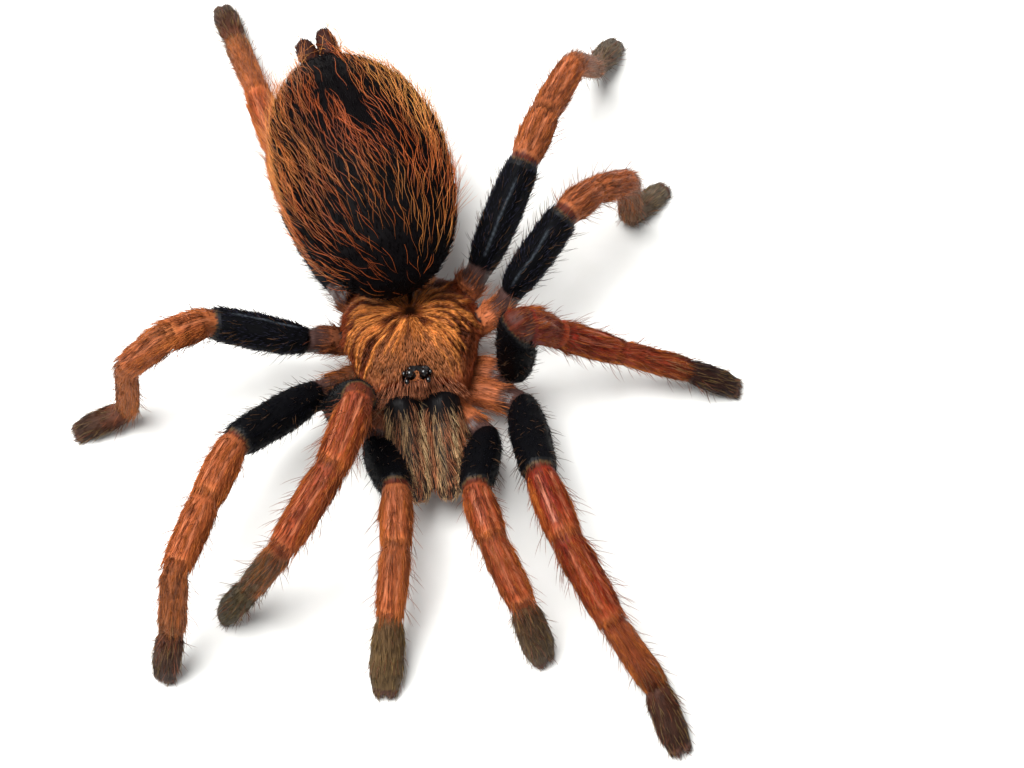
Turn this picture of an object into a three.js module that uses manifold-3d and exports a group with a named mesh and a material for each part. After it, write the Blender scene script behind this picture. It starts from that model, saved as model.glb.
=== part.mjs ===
// A tarantula at life size, standing still: carapace, abdomen, chelicerae, eight legs and two palps.
// Millimetres. The head points along -Y, the animal's left side is +X and the feet stand on Z = 0.
// Every solid reaches out to the tips of its short, dense coat; the long bristles are not modelled.
import * as THREE from "three";
import { mergeVertices } from "three/addons/utils/BufferGeometryUtils.js";
import Module from "manifold-3d";

const wasm = await Module();
wasm.setup();

// Driving dimensions
const CARAPACE_LENGTH = 14.2;
const CARAPACE_WIDTH = 13.6;
const CARAPACE_MIDDLE_Y = 0.9;
const LIMB_MEASURE = 15; // a limb's segments are given as shares of this
const RIM_HEIGHT = 6.0; // of the carapace's lower edge above the ground
const NOSE_UP = THREE.MathUtils.degToRad(5);
const HEAD_TURN = THREE.MathUtils.degToRad(2); // of the carapace, to the animal's left
const JOINT_GAP = 0.3; // between pieces that meet
const EYE_GAP = 0.1;
const FOOT_HEIGHT = 0.62; // of the middle of a claw tuft above the ground
const LIMB_SIDES = 8;
const BODY_SIDES = 16;

const COLOURS = {
  carapace: 0xa8602c,
  abdomen: 0x17120f,
  fang: 0x0c0a0a,
  chelicera: 0x5d4936,
  hip: 0x8f5a3c,
  femur: 0x15151a,
  shin: 0x9a4a26,
  foot: 0x5a4a30,
  spinneret: 0x6a3215,
  eye: 0x050505,
};

const materials = Object.fromEntries(
  Object.entries(COLOURS).map(([part, color]) => [
    part,
    new THREE.MeshStandardMaterial({ color, roughness: part === "eye" ? 0.1 : 0.8, metalness: 0 }),
  ]),
);

// The limbs. The five lengths of a leg are femur, patella, tibia, metatarsus and tarsus, as shares of
// the limb measure; a palp has no metatarsus. The coxa is where the trochanter starts. Headings are in
// degrees: 0 is straight ahead, 90 out to the limb's own side and 180 backward. Each pose holds, from
// the femur outward, [heading, rise].
const LIMB_KINDS = {
  palp: { shares: [0.54, 0.36, 0.44, 0.46], stout: 0.92, coxa: [5.5, -8.5] },
  leg_1: { shares: [0.74, 0.46, 0.58, 0.46, 0.41], stout: 1.0, coxa: [9.1, -5.5] },
  leg_2: { shares: [0.7, 0.43, 0.5, 0.47, 0.39], stout: 0.97, coxa: [8.3, -3.2] },
  leg_3: { shares: [0.64, 0.37, 0.42, 0.5, 0.37], stout: 0.93, coxa: [9.5, 2.6] },
  leg_4: { shares: [0.76, 0.42, 0.58, 0.69, 0.42], stout: 1.0, coxa: [6.4, 6.6] },
};
const POSES = {
  palp_left: [[-14, 27], [11, 3], [21, -21], [28, -61]],
  palp_right: [[-15, 33], [5, -8], [12, -30], [11, -37]],
  leg_1_left: [[3, 28], [13, 3], [27, -27], [35, -33], [16, -20]],
  leg_1_right: [[-34, 65], [24, -3], [40, -22], [78, -60], [81, -57]],
  leg_2_left: [[31, 88], [109, -54], [84, -30], [78, -19], [78, -28]],
  leg_2_right: [[50, 21], [25, 5], [20, 10], [24, -61], [33, -59]],
  leg_3_left: [[127, 42], [139, -25], [128, -34], [133, -84], [131, -7]],
  leg_3_right: [[96, 23], [48, 36], [84, -43], [64, -79], [79, -17]],
  leg_4_left: [[146, 35], [156, -4], [152, -12], [149, -52], [150, -23]],
  leg_4_right: [[158, -1], [170, 4], [166, -1], [166, -19], [166, -14]],
};
const TROCHANTER_HEADINGS = {
  palp_left: 31,
  palp_right: -49,
  leg_1_left: 35,
  leg_1_right: -74,
  leg_2_left: 113,
  leg_2_right: 52,
  leg_3_left: 161,
  leg_3_right: 28,
  leg_4_left: 142,
  leg_4_right: 171,
};
const TROCHANTER_LENGTH = 1.5;
const HIP_ROOTS = {
  palp: [1.5, -4.9],
  leg_1: [2.2, -3.2],
  leg_2: [2.6, -0.9],
  leg_3: [2.6, 1.7],
  leg_4: [2.1, 4.1],
};
const HIP_HEIGHT = 4.0;

// Half-width and half-height of a leg of stoutness 1, by segment, and where along it they hold.
const SECTIONS = {
  femur: [[0, 1.35, 1.45], [0.2, 1.75, 1.95], [0.5, 1.9, 2.1], [0.82, 1.78, 1.98], [1, 1.5, 1.7]],
  patella: [[0, 1.42, 1.55], [0.35, 1.64, 1.72], [0.75, 1.62, 1.62], [1, 1.36, 1.36]],
  tibia: [[0, 1.36, 1.36], [0.22, 1.55, 1.52], [0.7, 1.5, 1.46], [1, 1.2, 1.2]],
  metatarsus: [[0, 1.18, 1.16], [0.25, 1.26, 1.18], [0.8, 1.36, 1.14], [1, 1.1, 0.98]],
  tarsus: [[0, 1.08, 0.98], [0.3, 1.38, 1.08], [0.72, 1.46, 1.0], [1, 1.1, 0.72]],
};
const OVERRUN = 0.9; // how far a segment's rounded end reaches past its joint before it is trimmed
const ROUNDED_END = [[0.7, 0.8], [1, 0.4]]; // shares of the overrun, and of the section's size there
const TUFT_REACH = 0.45; // of the claw tuft past the end of the tarsus
const PALP_PAD = 1.2; // a palp ends in a broad pad

const radians = THREE.MathUtils.degToRad;
const group = new THREE.Group();

// A closed tube through the stations, each { at, side, up, width, top, bottom }: a section whose upper
// half is as high as top and whose lower half as deep as bottom.
function loft(stations, sides) {
  const last = stations.length - 1;
  const spread = 2 / (1 + Math.cos(Math.PI / sides)); // so flats and corners straddle the true curve
  const tube = new THREE.CylinderGeometry(1, 1, last, sides, last);
  const place = tube.attributes.position;
  for (let i = 0; i < place.count; i++) {
    const station = stations[Math.round(last / 2 - place.getY(i))];
    const [across, height] = [place.getX(i), place.getZ(i)];
    const point = station.at
      .clone()
      .addScaledVector(station.side, across * spread * station.width)
      .addScaledVector(station.up, height * spread * (height > 0 ? station.top : station.bottom));
    place.setXYZ(i, point.x, point.y, point.z);
  }
  return tube;
}

// A three.js geometry as a manifold solid that faces out.
function solid(geometry) {
  const bare = geometry.clone();
  bare.deleteAttribute("normal");
  bare.deleteAttribute("uv");
  const merged = mergeVertices(bare, 1e-4);
  const build = () =>
    new wasm.Manifold(
      new wasm.Mesh({
        numProp: 3,
        vertProperties: merged.attributes.position.array,
        triVerts: new Uint32Array(merged.index.array),
      }),
    );
  const made = build();
  if (made.volume() > 0) return made;
  const faces = merged.index.array;
  for (let i = 0; i < faces.length; i += 3) {
    [faces[i + 1], faces[i + 2]] = [faces[i + 2], faces[i + 1]];
  }
  return build();
}

function addPiece(name, shape, material) {
  const mesh = shape.getMesh();
  const geometry = new THREE.BufferGeometry();
  geometry.setAttribute("position", new THREE.BufferAttribute(mesh.vertProperties, 3));
  geometry.setIndex(new THREE.BufferAttribute(mesh.triVerts, 1));
  geometry.computeVertexNormals();
  const piece = new THREE.Mesh(geometry, materials[material]);
  piece.name = name;
  group.add(piece);
}

// The part of a solid on the plane's side that normal points to, half a joint gap clear of it.
function trimmed(shape, normal, through) {
  const n = normal.clone().normalize();
  return shape.trimByPlane(n.toArray(), n.dot(through) + JOINT_GAP / 2);
}

// Rows of numbers, eased into more rows by a smooth curve through them.
function eased(rows, count) {
  const width = rows[0].length;
  const columns = Array.from({ length: width }, (_, c) =>
    new THREE.SplineCurve(rows.map((row, i) => new THREE.Vector2(i, row[c]))),
  );
  return Array.from({ length: count }, (_, i) => columns.map((curve) => curve.getPoint(i / (count - 1)).y));
}

// Limbs

// A place in the level plane, given for the left side.
const flat = ([x, y], side) => new THREE.Vector3(side * x, y, 0);

// Unit vectors of a segment: along it, level to its side, and square to both.
function segmentFrame(side, [heading, rise]) {
  const [turn, lift] = [radians(heading), radians(rise)];
  const ahead = new THREE.Vector3(side * Math.sin(turn), -Math.cos(turn), 0);
  const along = ahead.clone().multiplyScalar(Math.cos(lift));
  along.z = Math.sin(lift);
  const level = new THREE.Vector3(-ahead.y, ahead.x, 0);
  return { along, side: level, up: new THREE.Vector3().crossVectors(level, along) };
}

// A limb's root, and its joints from the end of the trochanter to the claws. Its height is found from
// the foot upward.
function limbChain(kind, name, side) {
  const { shares, coxa } = LIMB_KINDS[kind];
  const root = flat(HIP_ROOTS[kind], side).setZ(HIP_HEIGHT);
  const frames = POSES[name].map((angles) => segmentFrame(side, angles));
  const lengths = shares.map((share) => share * LIMB_MEASURE);
  const outward = segmentFrame(side, [TROCHANTER_HEADINGS[name], 0]).along;
  const joints = [flat(coxa, side).addScaledVector(outward, TROCHANTER_LENGTH)];
  frames.forEach((frame, i) => joints.push(joints[i].clone().addScaledVector(frame.along, lengths[i])));
  const lift = FOOT_HEIGHT - joints.at(-1).z;
  joints.forEach((joint) => (joint.z += lift));
  return { root, joints, frames, lengths };
}

// Stations of one segment, from share 0 to 1 along it, with rounded ends that run past the joints.
function segmentStations(chain, index, sections, stout, ends, grow = 0) {
  const { joints, frames, lengths } = chain;
  const { along, side, up } = frames[index];
  const station = (share, beyond, width, height) => ({
    at: joints[index].clone().addScaledVector(along, share * lengths[index] + beyond),
    side,
    up,
    width: width * stout + grow,
    top: height * stout + grow,
    bottom: height * stout + grow,
  });
  const rows = sections.map(([share, width, height]) => station(share, 0, width, height));
  const [first, last] = [sections[0], sections.at(-1)];
  if (ends.start) {
    for (const [reach, size] of ROUNDED_END) {
      rows.unshift(station(0, -reach * OVERRUN, first[1] * size, first[2] * size));
    }
  }
  if (ends.end) {
    for (const [reach, size] of ROUNDED_END) {
      rows.push(station(1, reach * ends.end, last[1] * size, last[2] * size));
    }
  }
  return rows;
}

// Two segments in one tube, sharing the station at their joint, which lies in the plane between them.
function joinedStations(first, second) {
  const [a, b] = [first.at(-1), second[0]];
  const shared = {
    ...a,
    side: a.side.clone().add(b.side).normalize(),
    up: a.up.clone().add(b.up).normalize(),
  };
  return [...first.slice(0, -1), shared, ...second.slice(1)];
}

// The plane between two segments, or between hip and femur at 0: its normal points along the limb.
function between({ root, joints, frames }, index) {
  const before = index > 0 ? frames[index - 1].along.clone() : joints[0].clone().sub(root).normalize();
  return before.add(frames[index].along);
}

const chains = {};
for (const kind of Object.keys(LIMB_KINDS)) {
  for (const [word, side] of [["left", 1], ["right", -1]]) {
    chains[`${kind}_${word}`] = { kind, side, ...limbChain(kind, `${kind}_${word}`, side) };
  }
}

function femurShape(chain, grow = 0) {
  const { stout } = LIMB_KINDS[chain.kind];
  const ends = { start: true, end: OVERRUN };
  return solid(loft(segmentStations(chain, 0, SECTIONS.femur, stout, ends, grow), LIMB_SIDES));
}

function addLimb(name, chain) {
  const { stout } = LIMB_KINDS[chain.kind];
  const isPalp = chain.kind === "palp";
  const knee = chain.joints[1];
  const ankle = chain.joints[3];

  let femur = trimmed(femurShape(chain), between(chain, 0), chain.joints[0]);
  femur = trimmed(femur, between(chain, 1).negate(), knee);
  addPiece(`${name}_femur`, femur, "femur");

  const patella = segmentStations(chain, 1, SECTIONS.patella, stout, { start: true });
  const tibia = segmentStations(chain, 2, SECTIONS.tibia, stout, { end: OVERRUN });
  let shin = solid(loft(joinedStations(patella, tibia), LIMB_SIDES));
  shin = trimmed(shin, between(chain, 1), knee);
  shin = trimmed(shin, between(chain, 3).negate(), ankle);
  addPiece(`${name}_shin`, shin, "shin");

  let stations;
  if (isPalp) {
    const ends = { start: true, end: TUFT_REACH };
    stations = segmentStations(chain, 3, SECTIONS.tarsus, stout * PALP_PAD, ends);
  } else {
    stations = joinedStations(
      segmentStations(chain, 3, SECTIONS.metatarsus, stout, { start: true }),
      segmentStations(chain, 4, SECTIONS.tarsus, stout, { end: TUFT_REACH }),
    );
  }
  let foot = solid(loft(stations, LIMB_SIDES));
  foot = trimmed(foot, between(chain, 3), ankle);
  foot = foot.trimByPlane([0, 0, 1], 0);
  addPiece(`${name}_foot`, foot, "foot");
}

// Carapace: a low shield with a raised head region. Rows run from front to back and hold place along
// it, half-width and height above the rim, as shares of its length, half its width and its height.
const CARAPACE_HEIGHT = 4.6;
const CARAPACE_ROWS = [
  [-0.5, 0.58, 0.56],
  [-0.47, 0.67, 0.88],
  [-0.34, 0.79, 1.0],
  [-0.17, 0.91, 0.98],
  [0.04, 1.0, 0.84],
  [0.23, 0.95, 0.68],
  [0.38, 0.76, 0.5],
  [0.47, 0.5, 0.32],
  [0.5, 0.3, 0.2],
];
const RIM_DEPTH = 0.35;
const bodyPitch = new THREE.Matrix4()
  .makeTranslation(0, CARAPACE_MIDDLE_Y, RIM_HEIGHT)
  .multiply(new THREE.Matrix4().makeRotationZ(HEAD_TURN))
  .multiply(new THREE.Matrix4().makeRotationX(-NOSE_UP));
const onCarapace = (x, share, height) =>
  new THREE.Vector3(x, share * CARAPACE_LENGTH, height).applyMatrix4(bodyPitch);

function carapaceShape(grow = 0) {
  const sideways = new THREE.Vector3(1, 0, 0).transformDirection(bodyPitch);
  const upward = new THREE.Vector3(0, 0, 1).transformDirection(bodyPitch);
  const lengthened = 1 + (2 * grow) / CARAPACE_LENGTH;
  const stations = CARAPACE_ROWS.map(([share, width, height]) => ({
    at: onCarapace(0, share * lengthened, 0),
    side: sideways,
    up: upward,
    width: (width * CARAPACE_WIDTH) / 2 + grow,
    top: height * CARAPACE_HEIGHT + grow,
    bottom: RIM_DEPTH + grow,
  }));
  return solid(loft(stations, BODY_SIDES + 2));
}

// Eyes: eight, on a low mound near the front edge. Each row is place across and along from the
// mound's middle, height above it, and the lens's half-width and half-length.
const MOUND = { share: -0.48, height: 4.15, half: [1.34, 0.96, 0.7] };
const EYES = {
  front_middle: [0.65, -0.1, 0.46, 0.41, 0.41],
  front_side: [1.0, -0.68, 0.04, 0.27, 0.31],
  rear_side: [1.23, 0.15, 0.1, 0.19, 0.27],
  rear_middle: [0.64, 0.52, 0.3, 0.14, 0.18],
};

function ball(half, at, across = 7, down = 5) {
  return new THREE.SphereGeometry(1, across, down).scale(...half).translate(...at.toArray());
}

let carapace = carapaceShape();
const mound = onCarapace(0, MOUND.share, MOUND.height);
carapace = carapace.add(solid(ball(MOUND.half, mound, 12, 7)));
for (const [which, [x, y, z, halfWidth, halfLength]] of Object.entries(EYES)) {
  for (const [word, side] of [["left", 1], ["right", -1]]) {
    const at = mound.clone().add(new THREE.Vector3(side * x, y, z));
    const half = [halfWidth, halfLength, halfWidth];
    carapace = carapace.subtract(solid(ball(half.map((h) => h + EYE_GAP), at, 6, 4)));
    addPiece(`eye_${which}_${word}`, solid(ball(half, at)), "eye");
  }
}
addPiece("carapace", carapace, "carapace");

// Sternum: the plate between the legs' coxae, with the lip in front of it
const STERNUM = { halfWidth: 2.5, front: -4.6, back: 5.4, low: 2.5, high: 5.2 };

function sternumShape(grow = 0) {
  const { halfWidth, front, back, low, high } = STERNUM;
  const rows = [
    [0, 0.4, 0.4],
    [0.06, 0.6, 0.7],
    [0.35, 0.95, 1],
    [0.65, 1, 1],
    [0.94, 0.55, 0.7],
    [1, 0.35, 0.4],
  ];
  const stations = rows.map(([share, width, depth]) => ({
    at: new THREE.Vector3(0, THREE.MathUtils.lerp(front - grow, back + grow, share), (low + high) / 2),
    side: new THREE.Vector3(1, 0, 0),
    up: new THREE.Vector3(0, 0, 1),
    width: halfWidth * width + grow,
    top: ((high - low) / 2) * depth + grow,
    bottom: ((high - low) / 2) * depth + grow,
  }));
  return solid(loft(stations, 12));
}

// Chelicerae: two stout, hairy blocks that hang forward from under the carapace's front edge
const CHELICERA = {
  base: [1.95, -5.6, 7.0],
  tip: [1.3, -15.3, 3.9],
  sway: [0.35, 0.8], // both lean to the animal's left, at the base and at the tip
  rows: [
    [0, 1.6, 1.8, 1.7],
    [0.1, 1.85, 2.2, 2.1],
    [0.35, 1.85, 2.35, 2.2],
    [0.65, 1.6, 2.1, 1.9],
    [0.9, 1.25, 1.65, 1.45],
    [1, 0.85, 1.0, 0.9],
  ],
};

function cheliceraShape(side, grow = 0) {
  const [base, tip] = ["base", "tip"].map((end, i) => {
    const [x, y, z] = CHELICERA[end];
    return new THREE.Vector3(side * x + CHELICERA.sway[i], y, z);
  });
  const along = tip.clone().sub(base);
  const length = along.length();
  along.normalize();
  const level = new THREE.Vector3(-along.y, along.x, 0).normalize();
  const up = new THREE.Vector3().crossVectors(level, along);
  const stations = CHELICERA.rows.map(([share, width, top, bottom]) => ({
    at: base.clone().addScaledVector(along, share * length),
    side: level,
    up,
    width: width + grow,
    top: top + grow,
    bottom: bottom + grow,
  }));
  return solid(loft(stations, 10));
}

const carapaceGrown = carapaceShape(JOINT_GAP);
const sternumGrown = sternumShape(JOINT_GAP);
addPiece("sternum", sternumShape().subtract(carapaceGrown), "hip");

// Fangs: a curved spike under each chelicera, folded back, from a socket at its tip
const FANG = { root: [1.3, -14.3, 3.4], bend: [1.4, -14.2, 0.6], point: [1.0, -10.4, 1.2], thick: 0.55 };

function fangStations(side) {
  const [root, bend, point] = [FANG.root, FANG.bend, FANG.point].map(
    ([x, y, z]) => new THREE.Vector3(side * x + CHELICERA.sway[1], y, z),
  );
  const path = new THREE.QuadraticBezierCurve3(root, bend, point);
  return Array.from({ length: 7 }, (_, i) => {
    const share = i / 6;
    const along = path.getTangent(share);
    const level = new THREE.Vector3(-along.y, along.x, 0).normalize();
    const thick = FANG.thick * (1 - 0.75 * share ** 1.3);
    return {
      at: path.getPoint(share),
      side: level,
      up: new THREE.Vector3().crossVectors(level, along),
      width: thick * 0.8,
      top: thick,
      bottom: thick,
    };
  });
}

for (const [word, side] of [["left", 1], ["right", -1]]) {
  const fang = solid(loft(fangStations(side), 6));
  const fangRoom = solid(
    loft(
      fangStations(side).map((s) => ({
        ...s,
        width: s.width + JOINT_GAP / 2,
        top: s.top + JOINT_GAP / 2,
        bottom: s.bottom + JOINT_GAP / 2,
      })),
      6,
    ),
  );
  const [sway, swayAtTip] = CHELICERA.sway;
  const lean = (swayAtTip - sway) / (CHELICERA.base[1] - CHELICERA.tip[1]);
  const parting = new THREE.Vector3(side, side * lean, 0);
  let chelicera = trimmed(cheliceraShape(side), parting, new THREE.Vector3(sway, CHELICERA.base[1], 0));
  chelicera = chelicera.subtract(carapaceGrown).subtract(fangRoom);
  chelicera = chelicera.subtract(femurShape(chains[`palp_${word}`], JOINT_GAP));
  addPiece(`chelicera_${word}`, chelicera, "chelicera");
  addPiece(`fang_${word}`, fang, "fang");
}

// Hips: coxa and trochanter of each limb, fanned out round the sternum and under the carapace
const HIP_ROWS = [
  [0, 1.2, 1.1],
  [0.3, 1.75, 1.5],
  [0.62, 1.75, 1.6],
  [0.8, 1.45, 1.45],
  [1, 1.5, 1.6],
];
const HIP_OVERRUN = { reach: 0.5, width: 1.2, height: 1.3 }; // past the femur's joint, before it is trimmed

const kinds = Object.keys(LIMB_KINDS);

for (const [name, chain] of Object.entries(chains)) {
  const { kind, side, root, joints } = chain;
  const { stout } = LIMB_KINDS[kind];
  const elbow = flat(LIMB_KINDS[kind].coxa, side).setZ((HIP_HEIGHT + joints[0].z) / 2);
  const path = new THREE.QuadraticBezierCurve3(root, elbow, joints[0]);
  const rows = HIP_ROWS.map((row) => [...row, 0]);
  rows.push([1, HIP_OVERRUN.width, HIP_OVERRUN.height, HIP_OVERRUN.reach]);
  const stations = rows.map(([share, width, height, beyond]) => {
    const along = path.getTangent(share);
    const level = new THREE.Vector3(-along.y, along.x, 0).normalize();
    return {
      at: path.getPoint(share).addScaledVector(along, beyond),
      side: level,
      up: new THREE.Vector3().crossVectors(level, along),
      width: width * stout,
      top: height * stout,
      bottom: height * stout,
    };
  });
  let hip = solid(loft(stations, LIMB_SIDES));
  hip = trimmed(hip, between(chain, 0).negate(), joints[0]);
  const order = kinds.indexOf(kind);
  for (const step of [-1, 1]) {
    const neighbour = kinds[order + step];
    if (!neighbour) continue;
    const near = flat(HIP_ROOTS[kind], side).lerp(flat(HIP_ROOTS[neighbour], side), 0.5);
    const far = flat(LIMB_KINDS[kind].coxa, side).lerp(flat(LIMB_KINDS[neighbour].coxa, side), 0.5);
    const line = far.clone().sub(near).normalize();
    const normal = new THREE.Vector3(-line.y, line.x, 0);
    if (normal.dot(root.clone().sub(near)) < 0) normal.negate();
    hip = trimmed(hip, normal, near);
    hip = hip.subtract(femurShape(chains[name.replace(kind, neighbour)], JOINT_GAP));
  }
  hip = hip.subtract(carapaceGrown).subtract(sternumGrown);
  if (kind === "palp") hip = hip.subtract(cheliceraShape(side, JOINT_GAP));
  addPiece(`${name}_hip`, hip, "hip");
}

for (const [name, chain] of Object.entries(chains)) addLimb(name, chain);

// Pedicel: the narrow waist
const PEDICEL = { at: [-0.25, 8.4, 6.2], half: [1.1, 1.1, 1.9] };

// Abdomen: rows of place along it, half-width, underside and top, before it is turned on the pedicel
const ABDOMEN_TURN = radians(10);
const ABDOMEN_PIVOT = new THREE.Vector3(-1.8, 8, 0);
const ABDOMEN_ROWS = [
  [2.1, 1.2, 11.6, 12.8],
  [2.6, 3.4, 10.8, 14.4],
  [4.6, 5.8, 9.7, 16.5],
  [7.9, 7.4, 7.8, 18.3],
  [12, 8.4, 6.2, 19.7],
  [16.5, 8.7, 5.6, 20.1],
  [20.8, 8.4, 6.0, 19.8],
  [24.7, 7.2, 7.4, 18.7],
  [27.8, 5.2, 9.3, 17.1],
  [29.6, 2.9, 11.2, 15.8],
  [30.2, 1.2, 12.6, 14.8],
];
const TAIL_BEND = { from: 16, by: 0.8 }; // the rear swings to the animal's right, most at the very end
const WIDEST = 0.56; // level of its greatest width, from its underside to its top
const turnAbdomen = new THREE.Matrix4()
  .makeTranslation(ABDOMEN_PIVOT)
  .multiply(new THREE.Matrix4().makeRotationZ(ABDOMEN_TURN));
const tailEnd = ABDOMEN_ROWS.at(-1)[0];
function abdomenPoint(x, y, z) {
  const share = Math.max(0, (y - TAIL_BEND.from) / (tailEnd - TAIL_BEND.from));
  return new THREE.Vector3(x - TAIL_BEND.by * share ** 2, y - ABDOMEN_PIVOT.y, z).applyMatrix4(turnAbdomen);
}

function abdomenShape() {
  const across = new THREE.Vector3(1, 0, 0).transformDirection(turnAbdomen);
  const stations = eased(ABDOMEN_ROWS, 14).map(([y, width, low, high]) => {
    const middle = THREE.MathUtils.lerp(low, high, WIDEST);
    return {
      at: abdomenPoint(0, y, middle),
      side: across,
      up: new THREE.Vector3(0, 0, 1),
      width,
      top: high - middle,
      bottom: middle - low,
    };
  });
  return solid(loft(stations, BODY_SIDES));
}

let abdomen = abdomenShape().subtract(carapaceShape(JOINT_GAP));

// Spinnerets: two stout ones at the abdomen's end, pointing back, out and a little up
const SPINNERET = {
  root: [1.1, 28.2, 13.2],
  reach: { left: [0.05, 5.4, 0.9], right: [0.05, 4.7, 0.8] },
  thick: 0.95,
};

for (const [word, side] of [["left", 1], ["right", -1]]) {
  const root = abdomenPoint(side * SPINNERET.root[0], SPINNERET.root[1], SPINNERET.root[2]);
  const [outward, backward, upward] = SPINNERET.reach[word];
  const tip = abdomenPoint(
    side * (SPINNERET.root[0] + outward),
    SPINNERET.root[1] + backward,
    SPINNERET.root[2] + upward,
  );
  const along = tip.clone().sub(root).normalize();
  const level = new THREE.Vector3(-along.y, along.x, 0).normalize();
  const shape = (grow) =>
    solid(
      loft(
        [
          [0, 0.85],
          [0.35, 0.95],
          [0.75, 1],
          [0.93, 0.8],
          [1, 0.4],
        ].map(([share, thick]) => ({
          at: root.clone().lerp(tip, share),
          side: level,
          up: new THREE.Vector3().crossVectors(level, along),
          width: SPINNERET.thick * thick + grow,
          top: SPINNERET.thick * thick + grow,
          bottom: SPINNERET.thick * thick + grow,
        })),
        LIMB_SIDES,
      ),
    );
  abdomen = abdomen.subtract(shape(JOINT_GAP));
  addPiece(`spinneret_${word}`, shape(0), "spinneret");
}

const pedicel = solid(ball(PEDICEL.half, new THREE.Vector3(...PEDICEL.at)));
const pedicelRoom = solid(ball(PEDICEL.half.map((h) => h + JOINT_GAP), new THREE.Vector3(...PEDICEL.at)));
abdomen = abdomen.subtract(pedicelRoom);
addPiece("pedicel", pedicel.subtract(carapaceGrown).subtract(sternumGrown), "hip");
addPiece("abdomen", abdomen, "abdomen");

// The origin is the middle of the whole animal's box, at ground level.
const box = new THREE.Box3().setFromObject(group);
const middle = box.getCenter(new THREE.Vector3());
group.position.set(-middle.x, -middle.y, 0);

export default group;
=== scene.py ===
# A tarantula standing still, at life size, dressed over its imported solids.
# Metres, in the frame's own axes: the head points along -Y and the animal's left side is +X.
import math
import bmesh
import bpy
import numpy as np
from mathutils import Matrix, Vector
from mathutils.kdtree import KDTree


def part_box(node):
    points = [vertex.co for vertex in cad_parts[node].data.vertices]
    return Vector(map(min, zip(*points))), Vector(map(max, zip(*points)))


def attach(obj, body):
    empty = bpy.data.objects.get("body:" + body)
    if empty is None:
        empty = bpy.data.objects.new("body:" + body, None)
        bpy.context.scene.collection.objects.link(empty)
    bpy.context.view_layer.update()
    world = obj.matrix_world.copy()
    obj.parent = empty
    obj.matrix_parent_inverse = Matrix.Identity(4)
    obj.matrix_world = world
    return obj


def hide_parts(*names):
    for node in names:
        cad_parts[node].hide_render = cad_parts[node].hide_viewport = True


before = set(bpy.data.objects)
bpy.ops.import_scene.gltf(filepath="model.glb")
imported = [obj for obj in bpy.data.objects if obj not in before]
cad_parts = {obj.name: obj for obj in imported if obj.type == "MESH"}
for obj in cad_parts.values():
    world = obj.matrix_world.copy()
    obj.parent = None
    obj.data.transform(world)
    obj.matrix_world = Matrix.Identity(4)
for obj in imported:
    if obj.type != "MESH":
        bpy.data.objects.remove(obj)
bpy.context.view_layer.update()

# ---- The limbs' middle lines ----
# Eight legs and two palps, each a chain of stiff tubes joined end to end. The hair on a limb is combed from
# the body to the claws, so each limb's middle line is found first, through the middles of its solids.
MM = 0.001
chance = np.random.default_rng(11)
SIDES = ("left", "right")
LIMB_PARTS = ("hip", "femur", "shin", "foot")
# How much of a shin is patella, and how much of a foot is metatarsus.
KNEE_SHARE = {"palp": 0.45, "leg_1": 0.442, "leg_2": 0.462, "leg_3": 0.468, "leg_4": 0.42}
HEEL_SHARE = {"leg_1": 0.53, "leg_2": 0.547, "leg_3": 0.575, "leg_4": 0.622}
LIMBS = [f"{kind}_{side}" for kind in KNEE_SHARE for side in SIDES]
SAMPLES = 1500  # random spots on each solid
SLICES = 9
SLICE_HALF = 0.6  # of a slice, so that neighbours overlap a little
LINE_ROUNDS = 2  # of smoothing
FINE = 60  # points per solid along the finished middle line
TOUCH = 0.6 * MM  # how near two solids come where they meet
TOUCH_SLACK = 1.2
TIP_SHARE = 0.98  # of a foot's spots that lie short of its tip


def fetched(rows, field, kind=np.int32, width=1):
    """One field of all the rows of a mesh's list, as an array."""
    out = np.empty(len(rows) * width, kind)
    rows.foreach_get(field, out)
    return out if width == 1 else out.reshape(-1, width)


def triangles_of(thing):
    """Corner places and the triangles between them, of an object's mesh."""
    thing.data.calc_loop_triangles()
    places = fetched(thing.data.vertices, "co", np.float32, 3).astype(float)
    return places, fetched(thing.data.loop_triangles, "vertices", width=3)


def scatter(places, corners, count):
    """Random spots spread evenly over triangles: the triangle of each, and its share of the corners."""
    a, b, c = (places[corners[:, k]] for k in range(3))
    area = np.linalg.norm(np.cross(b - a, c - a), axis=1)
    picked = chance.choice(len(corners), count, p=area / area.sum())
    r, q = np.sqrt(chance.random(count)), chance.random(count)
    return picked, columns(1 - r, r * (1 - q), r * q)


def blended(values, corners, picked, shares):
    """Values at scattered spots, mixed from the corners of their triangles."""
    return np.einsum("nk,nkd->nd", shares, values[corners[picked]])


def columns(*rows):
    return np.stack(rows, axis=1)


def unit(vectors):
    return vectors / np.maximum(np.linalg.norm(vectors, axis=-1, keepdims=True), 1e-12)


def tree_of(places):
    tree = KDTree(len(places))
    for i, place in enumerate(places):
        tree.insert(place, i)
    tree.balance()
    return tree


def nearest(tree, places):
    return np.fromiter((tree.find(place)[1] for place in places), np.int64, len(places))


clouds = {}
for node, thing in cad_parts.items():
    places, corners = triangles_of(thing)
    clouds[node] = blended(places, corners, *scatter(places, corners, SAMPLES))


def meeting(one, other):
    """The middle of the two faces where one solid meets the next."""
    gaps = np.linalg.norm(clouds[one][:, None] - clouds[other][None], axis=2)
    close = gaps.min(axis=1) < max(TOUCH, gaps.min() * TOUCH_SLACK)
    return clouds[one][close].mean(axis=0)


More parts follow.
